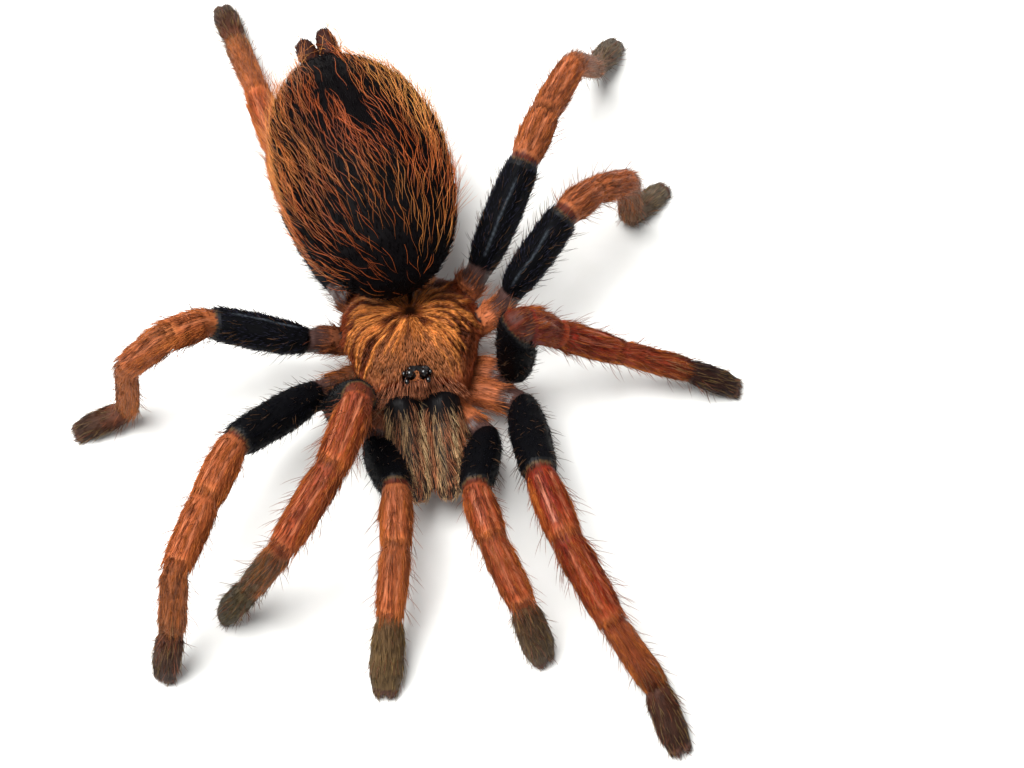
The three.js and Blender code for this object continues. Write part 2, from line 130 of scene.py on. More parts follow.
def middle_line(limb):
    """Places along a limb, and each one's reach: 0 at the body, and one more at the end of each solid."""
    parts = [f"{limb}_{part}" for part in LIMB_PARTS]
    joints = [meeting(one, other) for one, other in zip(parts, parts[1:])]
    start = 2 * clouds[parts[0]].mean(axis=0) - joints[0]
    away = np.linalg.norm(clouds[parts[-1]] - joints[-1], axis=1)
    tip = clouds[parts[-1]][away > np.quantile(away, TIP_SHARE)].mean(axis=0)
    ends = [start, *joints, tip]
    rows = [start]
    for part, a, b in zip(parts, ends, ends[1:]):
        share = (clouds[part] - a) @ (b - a) / ((b - a) @ (b - a))
        for k in range(1, SLICES):
            rows.append(clouds[part][np.abs(share - k / SLICES) < SLICE_HALF / SLICES].mean(axis=0))
        rows.append(b)
    rows = np.array(rows)
    for _ in range(LINE_ROUNDS):
        rows[1:-1] = (rows[:-2] + 2 * rows[1:-1] + rows[2:]) / 4
    coarse = np.linspace(0, len(parts), len(rows))
    reach = np.linspace(0, len(parts), FINE * len(parts) + 1)
    return np.stack([np.interp(reach, coarse, rows[:, k]) for k in range(3)], axis=1), reach


lines = {}
for limb in LIMBS:
    places, reach = middle_line(limb)
    forward = unit(np.gradient(places, axis=0))
    across = unit(np.cross(forward, (0, 0, 1)))
    length = np.concatenate([[0], np.cumsum(np.linalg.norm(np.diff(places, axis=0), axis=1))])
    lines[limb] = {
        "places": places, "reach": reach, "forward": forward, "across": across,
        "up": np.cross(across, forward), "length": length, "tree": tree_of(places),
    }

# ---- The skin ----
# The animal's hide: thin, tough cuticle over the abdomen, jaws, hips and limbs, in one piece with no seam.
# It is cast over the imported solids, bridged at every joint, and lies under them by the coat's depth.
SKIN_GRAIN = 0.24 * MM
SKIN_ROUNDS = 7
UNDER_SHELL = 0.55 * MM  # how far the hide passes below the carapace and the sternum
# The radii of the balls and capsules that bridge the joints.
BRIDGE = {
    "hip": 1.25 * MM, "femur": 1.25 * MM, "shin": 1.0 * MM, "foot": 0.85 * MM, "sternum": 1.1 * MM,
    "waist_front": 0.9 * MM, "waist_rear": 1.1 * MM, "spinneret": 0.9 * MM, "jaw": 1.3 * MM,
}
# A hip's bridge ends under the body, at these shares of the hip's own place, a little ahead of it.
HIP_BRIDGE_OUT = 0.25
HIP_BRIDGE_BACK = 0.9
HIP_BRIDGE_AHEAD = 0.2 * MM
HIP_BRIDGE_HEIGHT = 4.6 * MM
JAW_ROOT_SHARE = 0.85  # of a jaw that lies ahead of its root
JAW_BRIDGE_WAY = np.array([0, 2.0 * MM, -0.6 * MM])
PAD_RADIUS = 0.62 * MM  # the two lobes of the claw tuft
PAD_APART = 0.56 * MM
PAD_BACK = 0.5 * MM
SHELLS = ("carapace", "sternum")
FLESH = [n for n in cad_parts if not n.startswith(("eye_", "fang_")) and n not in SHELLS]
# How far the skin lies below the solids, in millimetres: the depth of the coat that covers it.
COAT_DEPTH = {
    "abdomen": 0.35, "chelicera": 0.0, "spinneret": -0.1, "pedicel": 0.1, "hip": 0.2, "femur": 0.02,
    "shin": 0.02, "foot": 0.02, "carapace": 0.1, "sternum": 0.1,
}


def placed(name, data):
    """A new object in the scene."""
    thing = bpy.data.objects.new(name, data)
    bpy.context.scene.collection.objects.link(thing)
    return thing


def new_piece(name, places, faces):
    """A smooth-shaded mesh object from corner places and groups of like-sided faces."""
    corners = np.concatenate([group.ravel() for group in faces]).astype(np.int32)
    sizes = np.concatenate([np.full(len(group), group.shape[1]) for group in faces])
    mesh = bpy.data.meshes.new(name)
    mesh.vertices.add(len(places))
    mesh.vertices.foreach_set("co", places.astype(np.float32).ravel())
    mesh.loops.add(len(corners))
    mesh.loops.foreach_set("vertex_index", corners)
    mesh.polygons.add(len(sizes))
    mesh.polygons.foreach_set("loop_start", (np.cumsum(sizes) - sizes).astype(np.int32))
    mesh.update(calc_edges=True)
    mesh.shade_smooth()
    return placed(name, mesh)


def normals_of(thing):
    return fetched(thing.data.vertices, "normal", np.float32, 3).astype(float)


ball = bmesh.new()
bmesh.ops.create_icosphere(ball, subdivisions=2, radius=1)
BALL_PLACES = np.array([v.co for v in ball.verts])
BALL_CORNERS = np.array([[v.index for v in f.verts] for f in ball.faces])
ball.free()


def bead(middle, radius, stretch=None):
    """A ball round a joint, or a capsule when it is stretched along a vector."""
    places = BALL_PLACES * radius
    if stretch is not None:
        places = places + np.outer(places @ unit(stretch) > 0, stretch)
    return places + middle, BALL_CORNERS


def cast(name, shapes, grain, rounds):
    """One closed surface round overlapping shapes, smoothed."""
    starts = np.cumsum([0] + [len(places) for places, _ in shapes])
    corners = np.concatenate([corners + start for (_, corners), start in zip(shapes, starts)])
    rough = new_piece(name, np.concatenate([places for places, _ in shapes]), [corners])
    remesh = rough.modifiers.new("cast", "REMESH")
    remesh.mode = "VOXEL"
    remesh.voxel_size = grain
    relax = rough.modifiers.new("relax", "SMOOTH")
    relax.factor = 0.5
    relax.iterations = rounds
    done = bpy.data.meshes.new_from_object(rough.evaluated_get(bpy.context.evaluated_depsgraph_get()))
    old = rough.data
    rough.modifiers.clear()
    rough.data = done
    bpy.data.meshes.remove(old)
    done.name = name
    done.shade_smooth()
    return rough


def shifted(thing, places):
    thing.data.vertices.foreach_set("co", places.astype(np.float32).ravel())
    thing.data.update()


shapes = [triangles_of(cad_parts[node]) for node in FLESH]
for node in SHELLS:
    places, corners = triangles_of(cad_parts[node])
    shapes.append((places - normals_of(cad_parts[node]) * UNDER_SHELL, corners))
carapace_low, carapace_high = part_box("carapace")
body_x = (carapace_low.x + carapace_high.x) / 2
for limb, line in lines.items():
    for k, part in enumerate(LIMB_PARTS):
        shapes.append(bead(line["places"][k * FINE], BRIDGE[part]))
    hip = clouds[f"{limb}_hip"].mean(axis=0)
    out, back = (hip[0] - body_x) * HIP_BRIDGE_OUT, hip[1] * HIP_BRIDGE_BACK
    inner = np.array([body_x + out, back - HIP_BRIDGE_AHEAD, HIP_BRIDGE_HEIGHT])
    shapes.append(bead(inner, BRIDGE["sternum"], hip - inner))
    tip = line["places"][-1] - line["forward"][-1] * PAD_BACK
    for way in (-1, 1):
        shapes.append(bead(tip + way * line["across"][-1] * PAD_APART, PAD_RADIUS))
shapes.append(bead(meeting("pedicel", "carapace"), BRIDGE["waist_front"]))
shapes.append(bead(meeting("pedicel", "abdomen"), BRIDGE["waist_rear"]))
for side in SIDES:
    shapes.append(bead(meeting(f"spinneret_{side}", "abdomen"), BRIDGE["spinneret"]))
    jaw = clouds[f"chelicera_{side}"]
    root = jaw[jaw[:, 1] > np.quantile(jaw[:, 1], JAW_ROOT_SHARE)].mean(axis=0)
    shapes.append(bead(root, BRIDGE["jaw"], JAW_BRIDGE_WAY))
skin = cast("skin", shapes, SKIN_GRAIN, SKIN_ROUNDS)

skin_places, skin_corners = triangles_of(skin)
names = sorted(FLESH + list(SHELLS))
owner = nearest(tree_of(np.concatenate([clouds[n] for n in names])), skin_places) // SAMPLES
depth = np.array([next(COAT_DEPTH[kind] for kind in COAT_DEPTH if kind in name) for name in names]) * MM
skin_places = skin_places - normals_of(skin) * depth[owner][:, None]
shifted(skin, skin_places)
skin_normals = normals_of(skin)
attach(skin, "root")
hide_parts(*FLESH)

# Where each spot of a limb lies: its reach along the limb in segments, and its angle round it, 0 on top.
# The segments are 0 hip, 1 femur, 2 patella, 3 tibia, 4 metatarsus, 5 tarsus, and 6 is the claws.
limb_of = [next((k for k, limb in enumerate(LIMBS) if name.startswith(limb)), -1) for name in names]
limb_at = np.array(limb_of)[owner]


def limb_reach(places, limb):
    """Reach in segments, angle round the limb, direction towards the claws, and length so far."""
    line = lines[limb]
    kind = limb.rsplit("_", 1)[0]
    at = nearest(line["tree"], places)
    reach = line["reach"][at]
    knee = 2 + KNEE_SHARE[kind]
    if kind == "palp":  # which has no metatarsus
        reach = np.interp(reach, [0, 2, knee, 3, 4], [0, 2, 3, 3.999, 6])
        reach = np.where(reach > 3.999, 5 + (reach - 3.999) / 2.001, reach)
    else:
        reach = np.interp(reach, [0, 2, knee, 3, 3 + HEEL_SHARE[kind], 4], [0, 2, 3, 4, 5, 6])
    out = places - line["places"][at]
    angle = np.arctan2((out * line["across"][at]).sum(1), (out * line["up"][at]).sum(1))
    return reach, angle, line["forward"][at], line["length"][at]


def ramp(values, start, end):
    """0 on the start's side, 1 on the end's side, and even in between."""
    return np.clip((values - start) / (end - start), 0, 1)


def bell(values, middle, half):
    """1 at the middle, falling softly away on both sides."""
    return np.exp(-(((values - middle) / half) ** 2))


# Each tube flares to a smooth rim, and the next comes out of it narrower. The claw tuft is parted.
RIM_AT = 0.92
RIM_HALF = 0.06
RIM_RISE = 0.05 * MM
JOINT_HALF = 0.035
JOINT_DIP = 0.12 * MM
PART_FROM = 5.8
PART_HALF = 0.16 * MM
PART_DEPTH = 0.32 * MM
for k, limb in enumerate(LIMBS):
    mine = limb_at == k
    reach, _, _, _ = limb_reach(skin_places[mine], limb)
    share = reach % 1
    rim = RIM_RISE * bell(share, RIM_AT, RIM_HALF) * (reach > 1.5) * (reach < 5)
    dip = JOINT_DIP * bell(np.minimum(share, 1 - share), 0, JOINT_HALF) * (reach > 1.7) * (reach < 5.3)
    skin_places[mine] += skin_normals[mine] * (rim - dip)[:, None]
    aside = (skin_places[mine] - lines[limb]["places"][-1]) @ lines[limb]["across"][-1]
    parted = PART_DEPTH * bell(aside, 0, PART_HALF) * ramp(reach, PART_FROM, PART_FROM + 0.15)
    skin_places[mine] -= lines[limb]["forward"][-1] * parted[:, None]
shifted(skin, skin_places)
skin_normals = normals_of(skin)

# ---- Markings of the skin ----
# A tarantula's colours sit in its hair and show in the hide below it: black velvet femora, rust legs that
# pale towards each joint's rim, olive feet and jaws, and an almost black abdomen.


def linear(code):
    """An sRGB hex colour as linear red, green and blue."""
    parts = np.array([int(code[k : k + 2], 16) / 255 for k in (1, 3, 5)])
    return np.where(parts <= 0.04045, parts / 12.92, ((parts + 0.055) / 1.055) ** 2.4)


def mixed(one, other, share):
    """Colours between one and the other, by each spot's share of the other."""
    share = share[:, None]
    return one * (1 - share) + other * share


LIMB_BANDS = [
    (0.0, "#84482a"), (0.7, "#84482a"), (0.76, "#3c2622"), (1.0, "#483430"),
    (1.03, "#060608"), (1.97, "#060608"), (1.983, "#4c3820"), (1.993, "#4c2210"),
    (2.008, "#521808"), (2.12, "#70200a"), (2.7, "#7e280c"), (2.88, "#98431f"), (2.97, "#a85e34"),
    (3.0, "#5a1c0c"), (3.1, "#76240a"), (3.7, "#80280a"), (3.88, "#964020"), (3.97, "#a86038"),
    (4.0, "#5c200e"), (4.1, "#84401f"), (4.5, "#7a3c1e"), (4.9, "#5c3018"), (5.0, "#40200f"),
    (5.1, "#4c2614"), (5.5, "#3a2010"), (5.88, "#2e1c12"), (5.96, "#5a3a2e"), (6.0, "#7a5244"),
]
BAND_REACH = np.array([reach for reach, _ in LIMB_BANDS])
BAND_COLOURS = np.array([linear(code) for _, code in LIMB_BANDS])
GOLDEN = linear("#c87c48")
DEEP_RED = linear("#701404")
# How far each limb's rust hair has faded towards gold, or darkened towards red where it is negative.
FADED = {
    "palp_left": 0.12, "palp_right": 0.3, "leg_1_left": -0.15, "leg_1_right": 0.1, "leg_2_left": -0.6,
    "leg_2_right": 0.3, "leg_3_left": 0.35, "leg_3_right": 0.4, "leg_4_left": 0.35, "leg_4_right": 0.2,
}
HIP_PAINTED_LIGHT_AND_SHADE = {"right": 0.45, "left": 1.8}  # painted shade darkens the hips on its right side, and painted light brightens those on its left
# The feet whose hair has turned olive, grey or dark, by how much, and the reach it starts at.
FOOT_OLIVE = "#5c482c"
OLIVE_FEET = {
    "palp_left": (FOOT_OLIVE, 0.45, 4.0), "palp_right": (FOOT_OLIVE, 0.7, 4.0),
    "leg_1_left": ("#2c1208", 0.5, 5.0), "leg_1_right": ("#443a22", 0.85, 4.0),
    "leg_2_left": ("#200a05", 0.9, 4.9), "leg_3_left": ("#6a6050", 0.6, 4.0),
    "leg_4_left": ("#6a6050", 0.5, 4.2),
}


def limb_colour(limb, reach):
    """The colour of a limb at each reach along it, with painted shade on the hips of its right side and painted
    light on those of its left.
    """
    plain = np.stack([np.interp(reach, BAND_REACH, BAND_COLOURS[:, k]) for k in range(3)], axis=1)
    faded = FADED[limb]
    plain = mixed(plain, GOLDEN if faded > 0 else DEEP_RED, abs(faded) * ((reach > 2) & (reach < 5)))
    olive, share, start = OLIVE_FEET.get(limb, (FOOT_OLIVE, 0, 4))
    plain = mixed(plain, linear(olive), share * ramp(reach, start, start + 0.1) * (reach < 5.9))
    # Painted shade on the hips of the right side, painted light on those of the left.
    return plain * np.where(reach < 0.7, HIP_PAINTED_LIGHT_AND_SHADE[limb.rsplit("_", 1)[1]], 1.0)[:, None]


ABDOMEN_BLACK = linear("#050304")
SPINNERET_BROWN = linear("#2e1007")
JAW_OLIVE = linear("#221710")
JAW_BLACK = linear("#0c0a0b")
UNDERSIDE_BROWN = linear("#2a1c16")

owner_name = np.array(names)[owner].astype(str)
on_abdomen = owner_name == "abdomen"
on_spinneret = np.char.startswith(owner_name, "spinneret")
colour = np.tile(UNDERSIDE_BROWN, (len(skin_places), 1))
comb = np.zeros_like(skin_places)  # the way the hair lies
grain = np.zeros((len(skin_places), 2))  # places along and across the comb
reach_at = np.full(len(skin_places), -1.0)
angle_at = np.zeros(len(skin_places))
length_at = np.zeros(len(skin_places))
LIMB_GIRTH = 1.6 * MM
for k, limb in enumerate(LIMBS):
    mine = limb_at == k
    reach_at[mine], angle_at[mine], comb[mine], length_at[mine] = limb_reach(skin_places[mine], limb)
    colour[mine] = limb_colour(limb, reach_at[mine])
    grain[mine] = columns(length_at[mine], angle_at[mine] * LIMB_GIRTH)
colour[on_abdomen] = ABDOMEN_BLACK
colour[on_spinneret] = SPINNERET_BROWN
colour[owner_name == "carapace"] = JAW_BLACK

# The abdomen's own axis, from the waist to the spinnerets.
abdomen_height = clouds["abdomen"].mean(axis=0)[2]
tail = (clouds["spinneret_left"].mean(axis=0) + clouds["spinneret_right"].mean(axis=0)) / 2
waist = clouds["pedicel"].mean(axis=0)
abdomen_way = unit(tail - waist)
abdomen_length = np.linalg.norm(tail - waist)
abdomen_across = unit(np.cross(abdomen_way, (0, 0, 1)))
ABDOMEN_GIRTH = 8 * MM


def abdomen_reach(places):
    """How far back a place is, 0 at the waist and 1 at the spinnerets, and its angle from the top."""
    along = (places - waist) @ abdomen_way
    off = places - waist - np.outer(along, abdomen_way)
    return along / abdomen_length, np.arctan2(off @ abdomen_across, places[:, 2] - abdomen_height)


on_back = on_abdomen | on_spinneret
comb[on_back] = abdomen_way
back_at, around_at = abdomen_reach(skin_places)
grain[on_back] = columns(back_at * abdomen_length, around_at * ABDOMEN_GIRTH)[on_back]

# A furrow runs forward from the spinnerets along the middle of the abdomen's bald patch.
PATCH_ANGLE = -0.06
FURROW_FROM = 0.62
FURROW_DEPTH = 0.3 * MM
FURROW_HALF = 0.035
furrow = FURROW_DEPTH * bell(around_at, PATCH_ANGLE, FURROW_HALF) * on_abdomen
furrow = furrow * ramp(back_at, FURROW_FROM, FURROW_FROM + 0.06)
skin_places = skin_places - skin_normals * furrow[:, None]
skin_places[:, 2] = np.maximum(skin_places[:, 2], 0)  # the feet rest on the floor, not in it
shifted(skin, skin_places)
skin_normals = normals_of(skin)

JAW_BARE_END = -0.6  # along a jaw from its middle, in half lengths: the black base, almost without hair
JAW_FADE = 0.3
JAW_HALF_LENGTH = 4.6 * MM
OFF_JAW = 9.0
jaw_share = np.full(len(skin_places), OFF_JAW)
for side in SIDES:
    mine = owner_name == f"chelicera_{side}"
    jaw = clouds[f"chelicera_{side}"]
    _, _, turn = np.linalg.svd(jaw - jaw.mean(axis=0), full_matrices=False)
    jaw_way = turn[0] * (1 if turn[0][1] < 0 else -1)
    comb[mine] = jaw_way
    jaw_share[mine] = (skin_places[mine] - jaw.mean(axis=0)) @ jaw_way / JAW_HALF_LENGTH
    colour[mine] = mixed(JAW_BLACK, JAW_OLIVE, ramp(jaw_share[mine], JAW_BARE_END, JAW_BARE_END + JAW_FADE))
    grain[mine] = columns(jaw_share[mine] * JAW_HALF_LENGTH, skin_places[mine, 0])
on_jaw = jaw_share < OFF_JAW


def turned(ways, normals, angle):
    """Ways laid flat on the surface, and turned in it."""
    flat = unit(ways - normals * (ways * normals).sum(1, keepdims=True) + 1e-9)
    return flat * np.cos(angle)[:, None] + np.cross(normals, flat) * np.sin(angle)[:, None]


comb = turned(comb, skin_normals, np.zeros(len(comb)))

# Bald stripes run down the top of each segment, where the cuticle shows between the hair.
STRIPE_ANGLE = 0.4
STRIPE_HALF = 0.1
STRIPE_PALE = 0.5
BALD_PINK = linear("#c07a58")
FEMUR_LINE_ANGLE = 0.25
FEMUR_LINE_HALF = 0.05
FEMUR_LINE_PALE = 0.45
LINE_GREY = linear("#5c646c")
VELVET_FROM = 1.03
VELVET_TO = 1.95


def bald(reach, angle):
    """How bare a spot of a limb is: 1 in the stripes and on the hip's end knob, 0 under full hair."""
    inside = (reach > 2) & (reach < 4) & (reach % 1 > 0.15) & (reach % 1 < 0.8)
    knob = ramp(reach, 0.74, 0.8) * ramp(reach, VELVET_FROM, 1.0)
    return np.maximum(bell(np.abs(angle), STRIPE_ANGLE, STRIPE_HALF) * inside, knob)


bare = np.where(reach_at >= 0, bald(reach_at, angle_at), 0)
bare[on_jaw] = np.minimum(ramp(jaw_share[on_jaw], JAW_BARE_END, JAW_BARE_END - 0.2), 0.8)
colour = mixed(colour, BALD_PINK, STRIPE_PALE * bare * (reach_at > 2))
# A fine pale line runs along the top of each hind femur.
hind = np.array([limb.startswith(("leg_3", "leg_4")) for limb in LIMBS])
line_at = bell(angle_at, FEMUR_LINE_ANGLE, FEMUR_LINE_HALF) * ((limb_at >= 0) & hind[limb_at])
line_at = line_at * ramp(reach_at, 1.12, 1.17) * ramp(reach_at, 1.88, 1.78)
colour = mixed(colour, LINE_GREY, FEMUR_LINE_PALE * line_at)


def mark(thing, name, values):
    """Keeps a value, a place or a colour for every corner of a mesh, for its material to read."""
    sides = values.shape[1] if values.ndim > 1 else 1
    kind, field = {1: ("FLOAT", "value"), 2: ("FLOAT_VECTOR", "vector"), 3: ("FLOAT_COLOR", "color")}[sides]
    if sides > 1:
        values = np.concatenate([values, np.ones((len(values), 1))], axis=1)
    kept = thing.data.attributes.new(name, kind, "POINT")
    kept.data.foreach_set(field, values.astype(np.float32).ravel())


mark(skin, "marking_and_painted_light", colour)
mark(skin, "bare", bare)
mark(skin, "grain", grain)


def add(tree, kind, settings={}, links={}):
    """Adds a node, gives it its settings and joins its inputs."""
    node = tree.nodes.new("ShaderNode" + kind)
    for key, value in settings.items():
        if isinstance(key, int) or key in node.inputs:
            node.inputs[key].default_value = value
        else:
            setattr(node, key, value)
    for key, source in links.items():
        tree.links.new(source, node.inputs[key])
    return node


def new_material(name):
    material = bpy.data.materials.new(name)
    material.use_nodes = True
    material.node_tree.nodes.clear()
    return material, material.node_tree


def noise(tree, size, detail):
    """Soft patches in space, each of about the given size."""
    where = add(tree, "TexCoord")
    cloudy = add(tree, "TexNoise", {"Scale": 1 / size, "Detail": detail}, {"Vector": where.outputs["Object"]})
    return cloudy.outputs["Fac"]


def spread(tree, source, low, high, ends=(0, 1)):
    """A value taken from between its own ends to between low and high."""
    return add(tree, "MapRange", {1: ends[0], 2: ends[1], 3: low, 4: high}, {0: source}).outputs[0]


def kept_on(tree, name):
    """What the mesh keeps at each corner under a name."""
    return add(tree, "Attribute", {"attribute_name": name})


def toned(tree, value):
    """The kept colour, with any painted light and shade in it, lighter or darker by a value."""
    links = {"Color": kept_on(tree, "marking_and_painted_light").outputs["Color"], "Value": value}
    return add(tree, "HueSaturation", {}, links).outputs["Color"]


def surface(tree, settings, links):
    """The finished surface."""
    shader = add(tree, "BsdfPrincipled", settings, links)
    add(tree, "OutputMaterial", {}, {"Surface": shader.outputs["BSDF"]})


# Cuticle under short velvet. The down shows as fine streaks along the comb, dull where it is thick, and the
# bare knobs and stripes keep a waxy gleam. The black velvet hardly shines at all.
DOWN_LENGTH = 0.9 * MM
DOWN_PITCH = 0.09 * MM
BLOTCH = 1.6 * MM
NOISE_ENDS = (0.3, 0.7)  # almost all of a noise lies between these
for name, shine in (("velvet_cuticle", 0.2), ("black_velvet_cuticle", 0.05)):
    hide, tree = new_material(name)
    pitch = {"operation": "MULTIPLY", 1: (1 / DOWN_LENGTH, 1 / DOWN_PITCH, 0)}
    combed = add(tree, "VectorMath", pitch, {0: kept_on(tree, "grain").outputs["Vector"]})
    down = add(tree, "TexNoise", {"Scale": 1.0, "Detail": 2.0}, {"Vector": combed.outputs[0]}).outputs["Fac"]
    streak = spread(tree, down, 0.6, 1.35, NOISE_ENDS)
    patch = spread(tree, noise(tree, BLOTCH, 3.0), 0.85, 1.15, NOISE_ENDS)
    value = add(tree, "Math", {"operation": "MULTIPLY"}, {0: streak, 1: patch})
    gleam = spread(tree, kept_on(tree, "bare").outputs["Fac"], 0.6, 0.22)
    relief = add(tree, "Bump", {"Strength": 0.6, "Distance": 0.05 * MM}, {"Height": down})
    surface(
        tree, {"IOR": 1.5, "Specular IOR Level": shine},
        {"Base Color": toned(tree, value.outputs[0]), "Roughness": gleam, "Normal": relief.outputs["Normal"]},
    )
    skin.data.materials.append(hide)
on_velvet = (reach_at > VELVET_FROM) & (reach_at < VELVET_TO)
is_black = (on_abdomen | (jaw_share < JAW_BARE_END + JAW_FADE) | on_velvet).astype(np.int32)
first_corners = fetched(skin.data.loops, "vertex_index")[fetched(skin.data.polygons, "loop_start")]
skin.data.polygons.foreach_set("material_index", is_black[first_corners])

# ---- The carapace and the sternum ----
# Two hard plates of horny cuticle, above and below the forebody. The carapace has a pit in its middle, the
# fovea, with shallow grooves running out to the leg bases, and a small black mound for the eyes in front.
PLATE_GRAIN = 0.16 * MM
PLATE_ROUNDS = 9
PLATE_DEPTH = {"carapace": 0.25 * MM, "sternum": 0.15 * MM}
FOVEA_SHARE = 0.605  # back along the carapace
FOVEA_ASIDE = 0.05 * MM
carapace_long = carapace_high.y - carapace_low.y
fovea = np.array([body_x + FOVEA_ASIDE, carapace_low.y + FOVEA_SHARE * carapace_long, 0])
GROOVE_BEARINGS = [math.radians(a) for a in (32, 62, 97, 132, 180)]  # from straight ahead, on either side
GROOVE_DEPTH = 0.26 * MM
GROOVE_HALF = 0.3 * MM
GROOVE_START = 1.2 * MM
GROOVE_END = 6.2 * MM
PIT_DEPTH = 0.3 * MM
PIT_SIZE = 0.5 * MM
RIM_RUST = linear("#5c1c0c")
COPPER = linear("#8a4a20")
COPPER_DARK = linear("#1e0d06")
MOUND_BLACK = linear("#030202")
MOUND_SINK = 0.34 * MM  # so that the eyes stand up from it
MOUND_HEIGHT = 1.6 * MM
# The golden hair grows in bundles, each with its stream, its two ends, its half-width and its strength.
BUNDLES = 50
BUNDLE_STARTS = [0.5, 0.8, 2.2, 3.4]
BUNDLE_RISE = 0.1 * MM
BUNDLE_COPPER = 0.8
CURL = 48.0  # how fast a stream bends forward, in radians a metre
DRIFT_WAVES = 6
DRIFT_SIZE = 2.5  # about the greatest sum of so many waves
BUNDLE_FIRST = 0.12  # the bearing of the first bundle on either side
BUNDLE_SPAN = 2.9
bundle_stream = (np.arange(BUNDLES) % (BUNDLES // 2) + chance.random(BUNDLES)) / (BUNDLES // 2)
bundle_stream = bundle_stream * BUNDLE_SPAN + BUNDLE_FIRST
bundle_stream *= np.where(np.arange(BUNDLES) < BUNDLES // 2, 1, -1)
bundle_start = chance.choice(BUNDLE_STARTS, BUNDLES) * MM * chance.uniform(0.8, 1.3, BUNDLES)
bundle_end = bundle_start + chance.uniform(3.0, 6.5, BUNDLES) * MM
bundle_half = chance.uniform(0.16, 0.34, BUNDLES) * MM
bundle_strength = chance.uniform(0.6, 1.1, BUNDLES)
eye_spots = np.concatenate([clouds[n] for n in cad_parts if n.startswith("eye_")])
mound_middle = (eye_spots.min(axis=0) + eye_spots.max(axis=0)) / 2
mound_half = (eye_spots.max(axis=0) - eye_spots.min(axis=0)) / 2


def carapace_reach(places):
    """Bearing round the fovea from straight ahead, 0 to pi either side, and the flat distance from it."""
    out = places - fovea
    return np.arctan2(out[:, 0], -out[:, 1]), np.hypot(out[:, 0], out[:, 1])


def rim_share(places):
    """0 at the middle of the carapace and 1 at its edge."""
    half_x = (carapace_high.x - carapace_low.x) / 2
    middle_y = (carapace_high.y + carapace_low.y) / 2
    return np.hypot((places[:, 0] - body_x) / half_x, (places[:, 1] - middle_y) / (carapace_long / 2))


def carapace_lie(places):
    """The stream of hair a place lies in, and how far the hair there turns forward from straight out."""
    bearing, away = carapace_reach(places)
    size = np.abs(bearing)
    bend = CURL * away * ramp(size, 0.4, 0.9) * ramp(size, 2.3, 1.6)  # none ahead or behind
    return np.sign(bearing) * (size + bend), np.sign(bearing) * np.arctan(bend)


def drift(places, size, seed):
    """A slow, smooth wander between about -1 and 1 over the places, with bumps of the given size."""
    waves = np.random.default_rng(seed)
    total = np.zeros(len(places))
    for _ in range(DRIFT_WAVES):
        way = waves.normal(size=3)
        total += np.sin(places @ (way * 2 / size) + waves.random() * 2 * math.pi)
    return total / DRIFT_SIZE


def bundle_at(places):
    """How deep in a golden bundle a place lies, from 0 to 1."""
    stream, _ = carapace_lie(places)
    _, away = carapace_reach(places)
    stream = stream + 0.03 * np.sin(away / (0.6 * MM)) + 0.05 * drift(places, 2.5 * MM, 4)
    strongest = np.zeros(len(places))
    for middle, start, end, half, strength in zip(
        bundle_stream, bundle_start, bundle_end, bundle_half, bundle_strength
    ):
        ends = ramp(away, start, start + 0.5 * MM) * ramp(away, end, end - 0.7 * MM)
        strongest = np.maximum(strongest, bell((stream - middle) * away, 0, half) * ends * strength)
    return strongest


def on_mound(places):
    """1 on the eyes' mound, fading to 0 around it."""
    off = np.hypot(*((places - mound_middle) / mound_half)[:, :2].T)
    return ramp(off, 1.28, 1.06) * (places[:, 2] > mound_middle[2] - MOUND_HEIGHT)


plates = {}
for node in SHELLS:
    plate = cast(f"{node}_plate", [triangles_of(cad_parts[node])], PLATE_GRAIN, PLATE_ROUNDS)
    places, corners = triangles_of(plate)
    normals = normals_of(plate)
    sunk = np.full(len(places), PLATE_DEPTH[node])
    if node == "carapace":
        bearing, away = carapace_reach(places)
        top = ramp(normals[:, 2], 0.2, 0.6)
        fade = ramp(away, 0, GROOVE_START) * ramp(away, GROOVE_END, GROOVE_END - 2 * MM)
        for groove in GROOVE_BEARINGS:
            off = np.abs(np.sin(np.clip(np.abs(bearing) - groove, -math.pi / 2, math.pi / 2))) * away
            sunk += GROOVE_DEPTH * bell(off, 0, GROOVE_HALF) * fade * top * (1 - on_mound(places))
        sunk += PIT_DEPTH * bell(away, 0, PIT_SIZE) * top
        sunk -= BUNDLE_RISE * bundle_at(places) * top
        sunk += (MOUND_SINK - sunk) * on_mound(places)
    places = places - normals * sunk[:, None]
    shifted(plate, places)
    normals = normals_of(plate)
    plates[node] = (plate, places, corners, normals)
    plate_colour = np.tile(UNDERSIDE_BROWN, (len(places), 1))
    plate_bare = np.zeros(len(places))
    if node == "carapace":
        before_mound = (places[:, 1] < mound_middle[1]) & (normals[:, 1] < -0.35)
        plate_bare = on_mound(places)
        plate_colour = mixed(COPPER_DARK, COPPER, BUNDLE_COPPER * bundle_at(places))
        plate_colour = mixed(plate_colour, RIM_RUST, ramp(rim_share(places), 0.84, 0.96))
        plate_colour = mixed(plate_colour, MOUND_BLACK, np.maximum(plate_bare, before_mound))
    mark(plate, "bare", plate_bare)
    mark(plate, "marking_and_painted_light", plate_colour)
    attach(plate, "root")
    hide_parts(node)

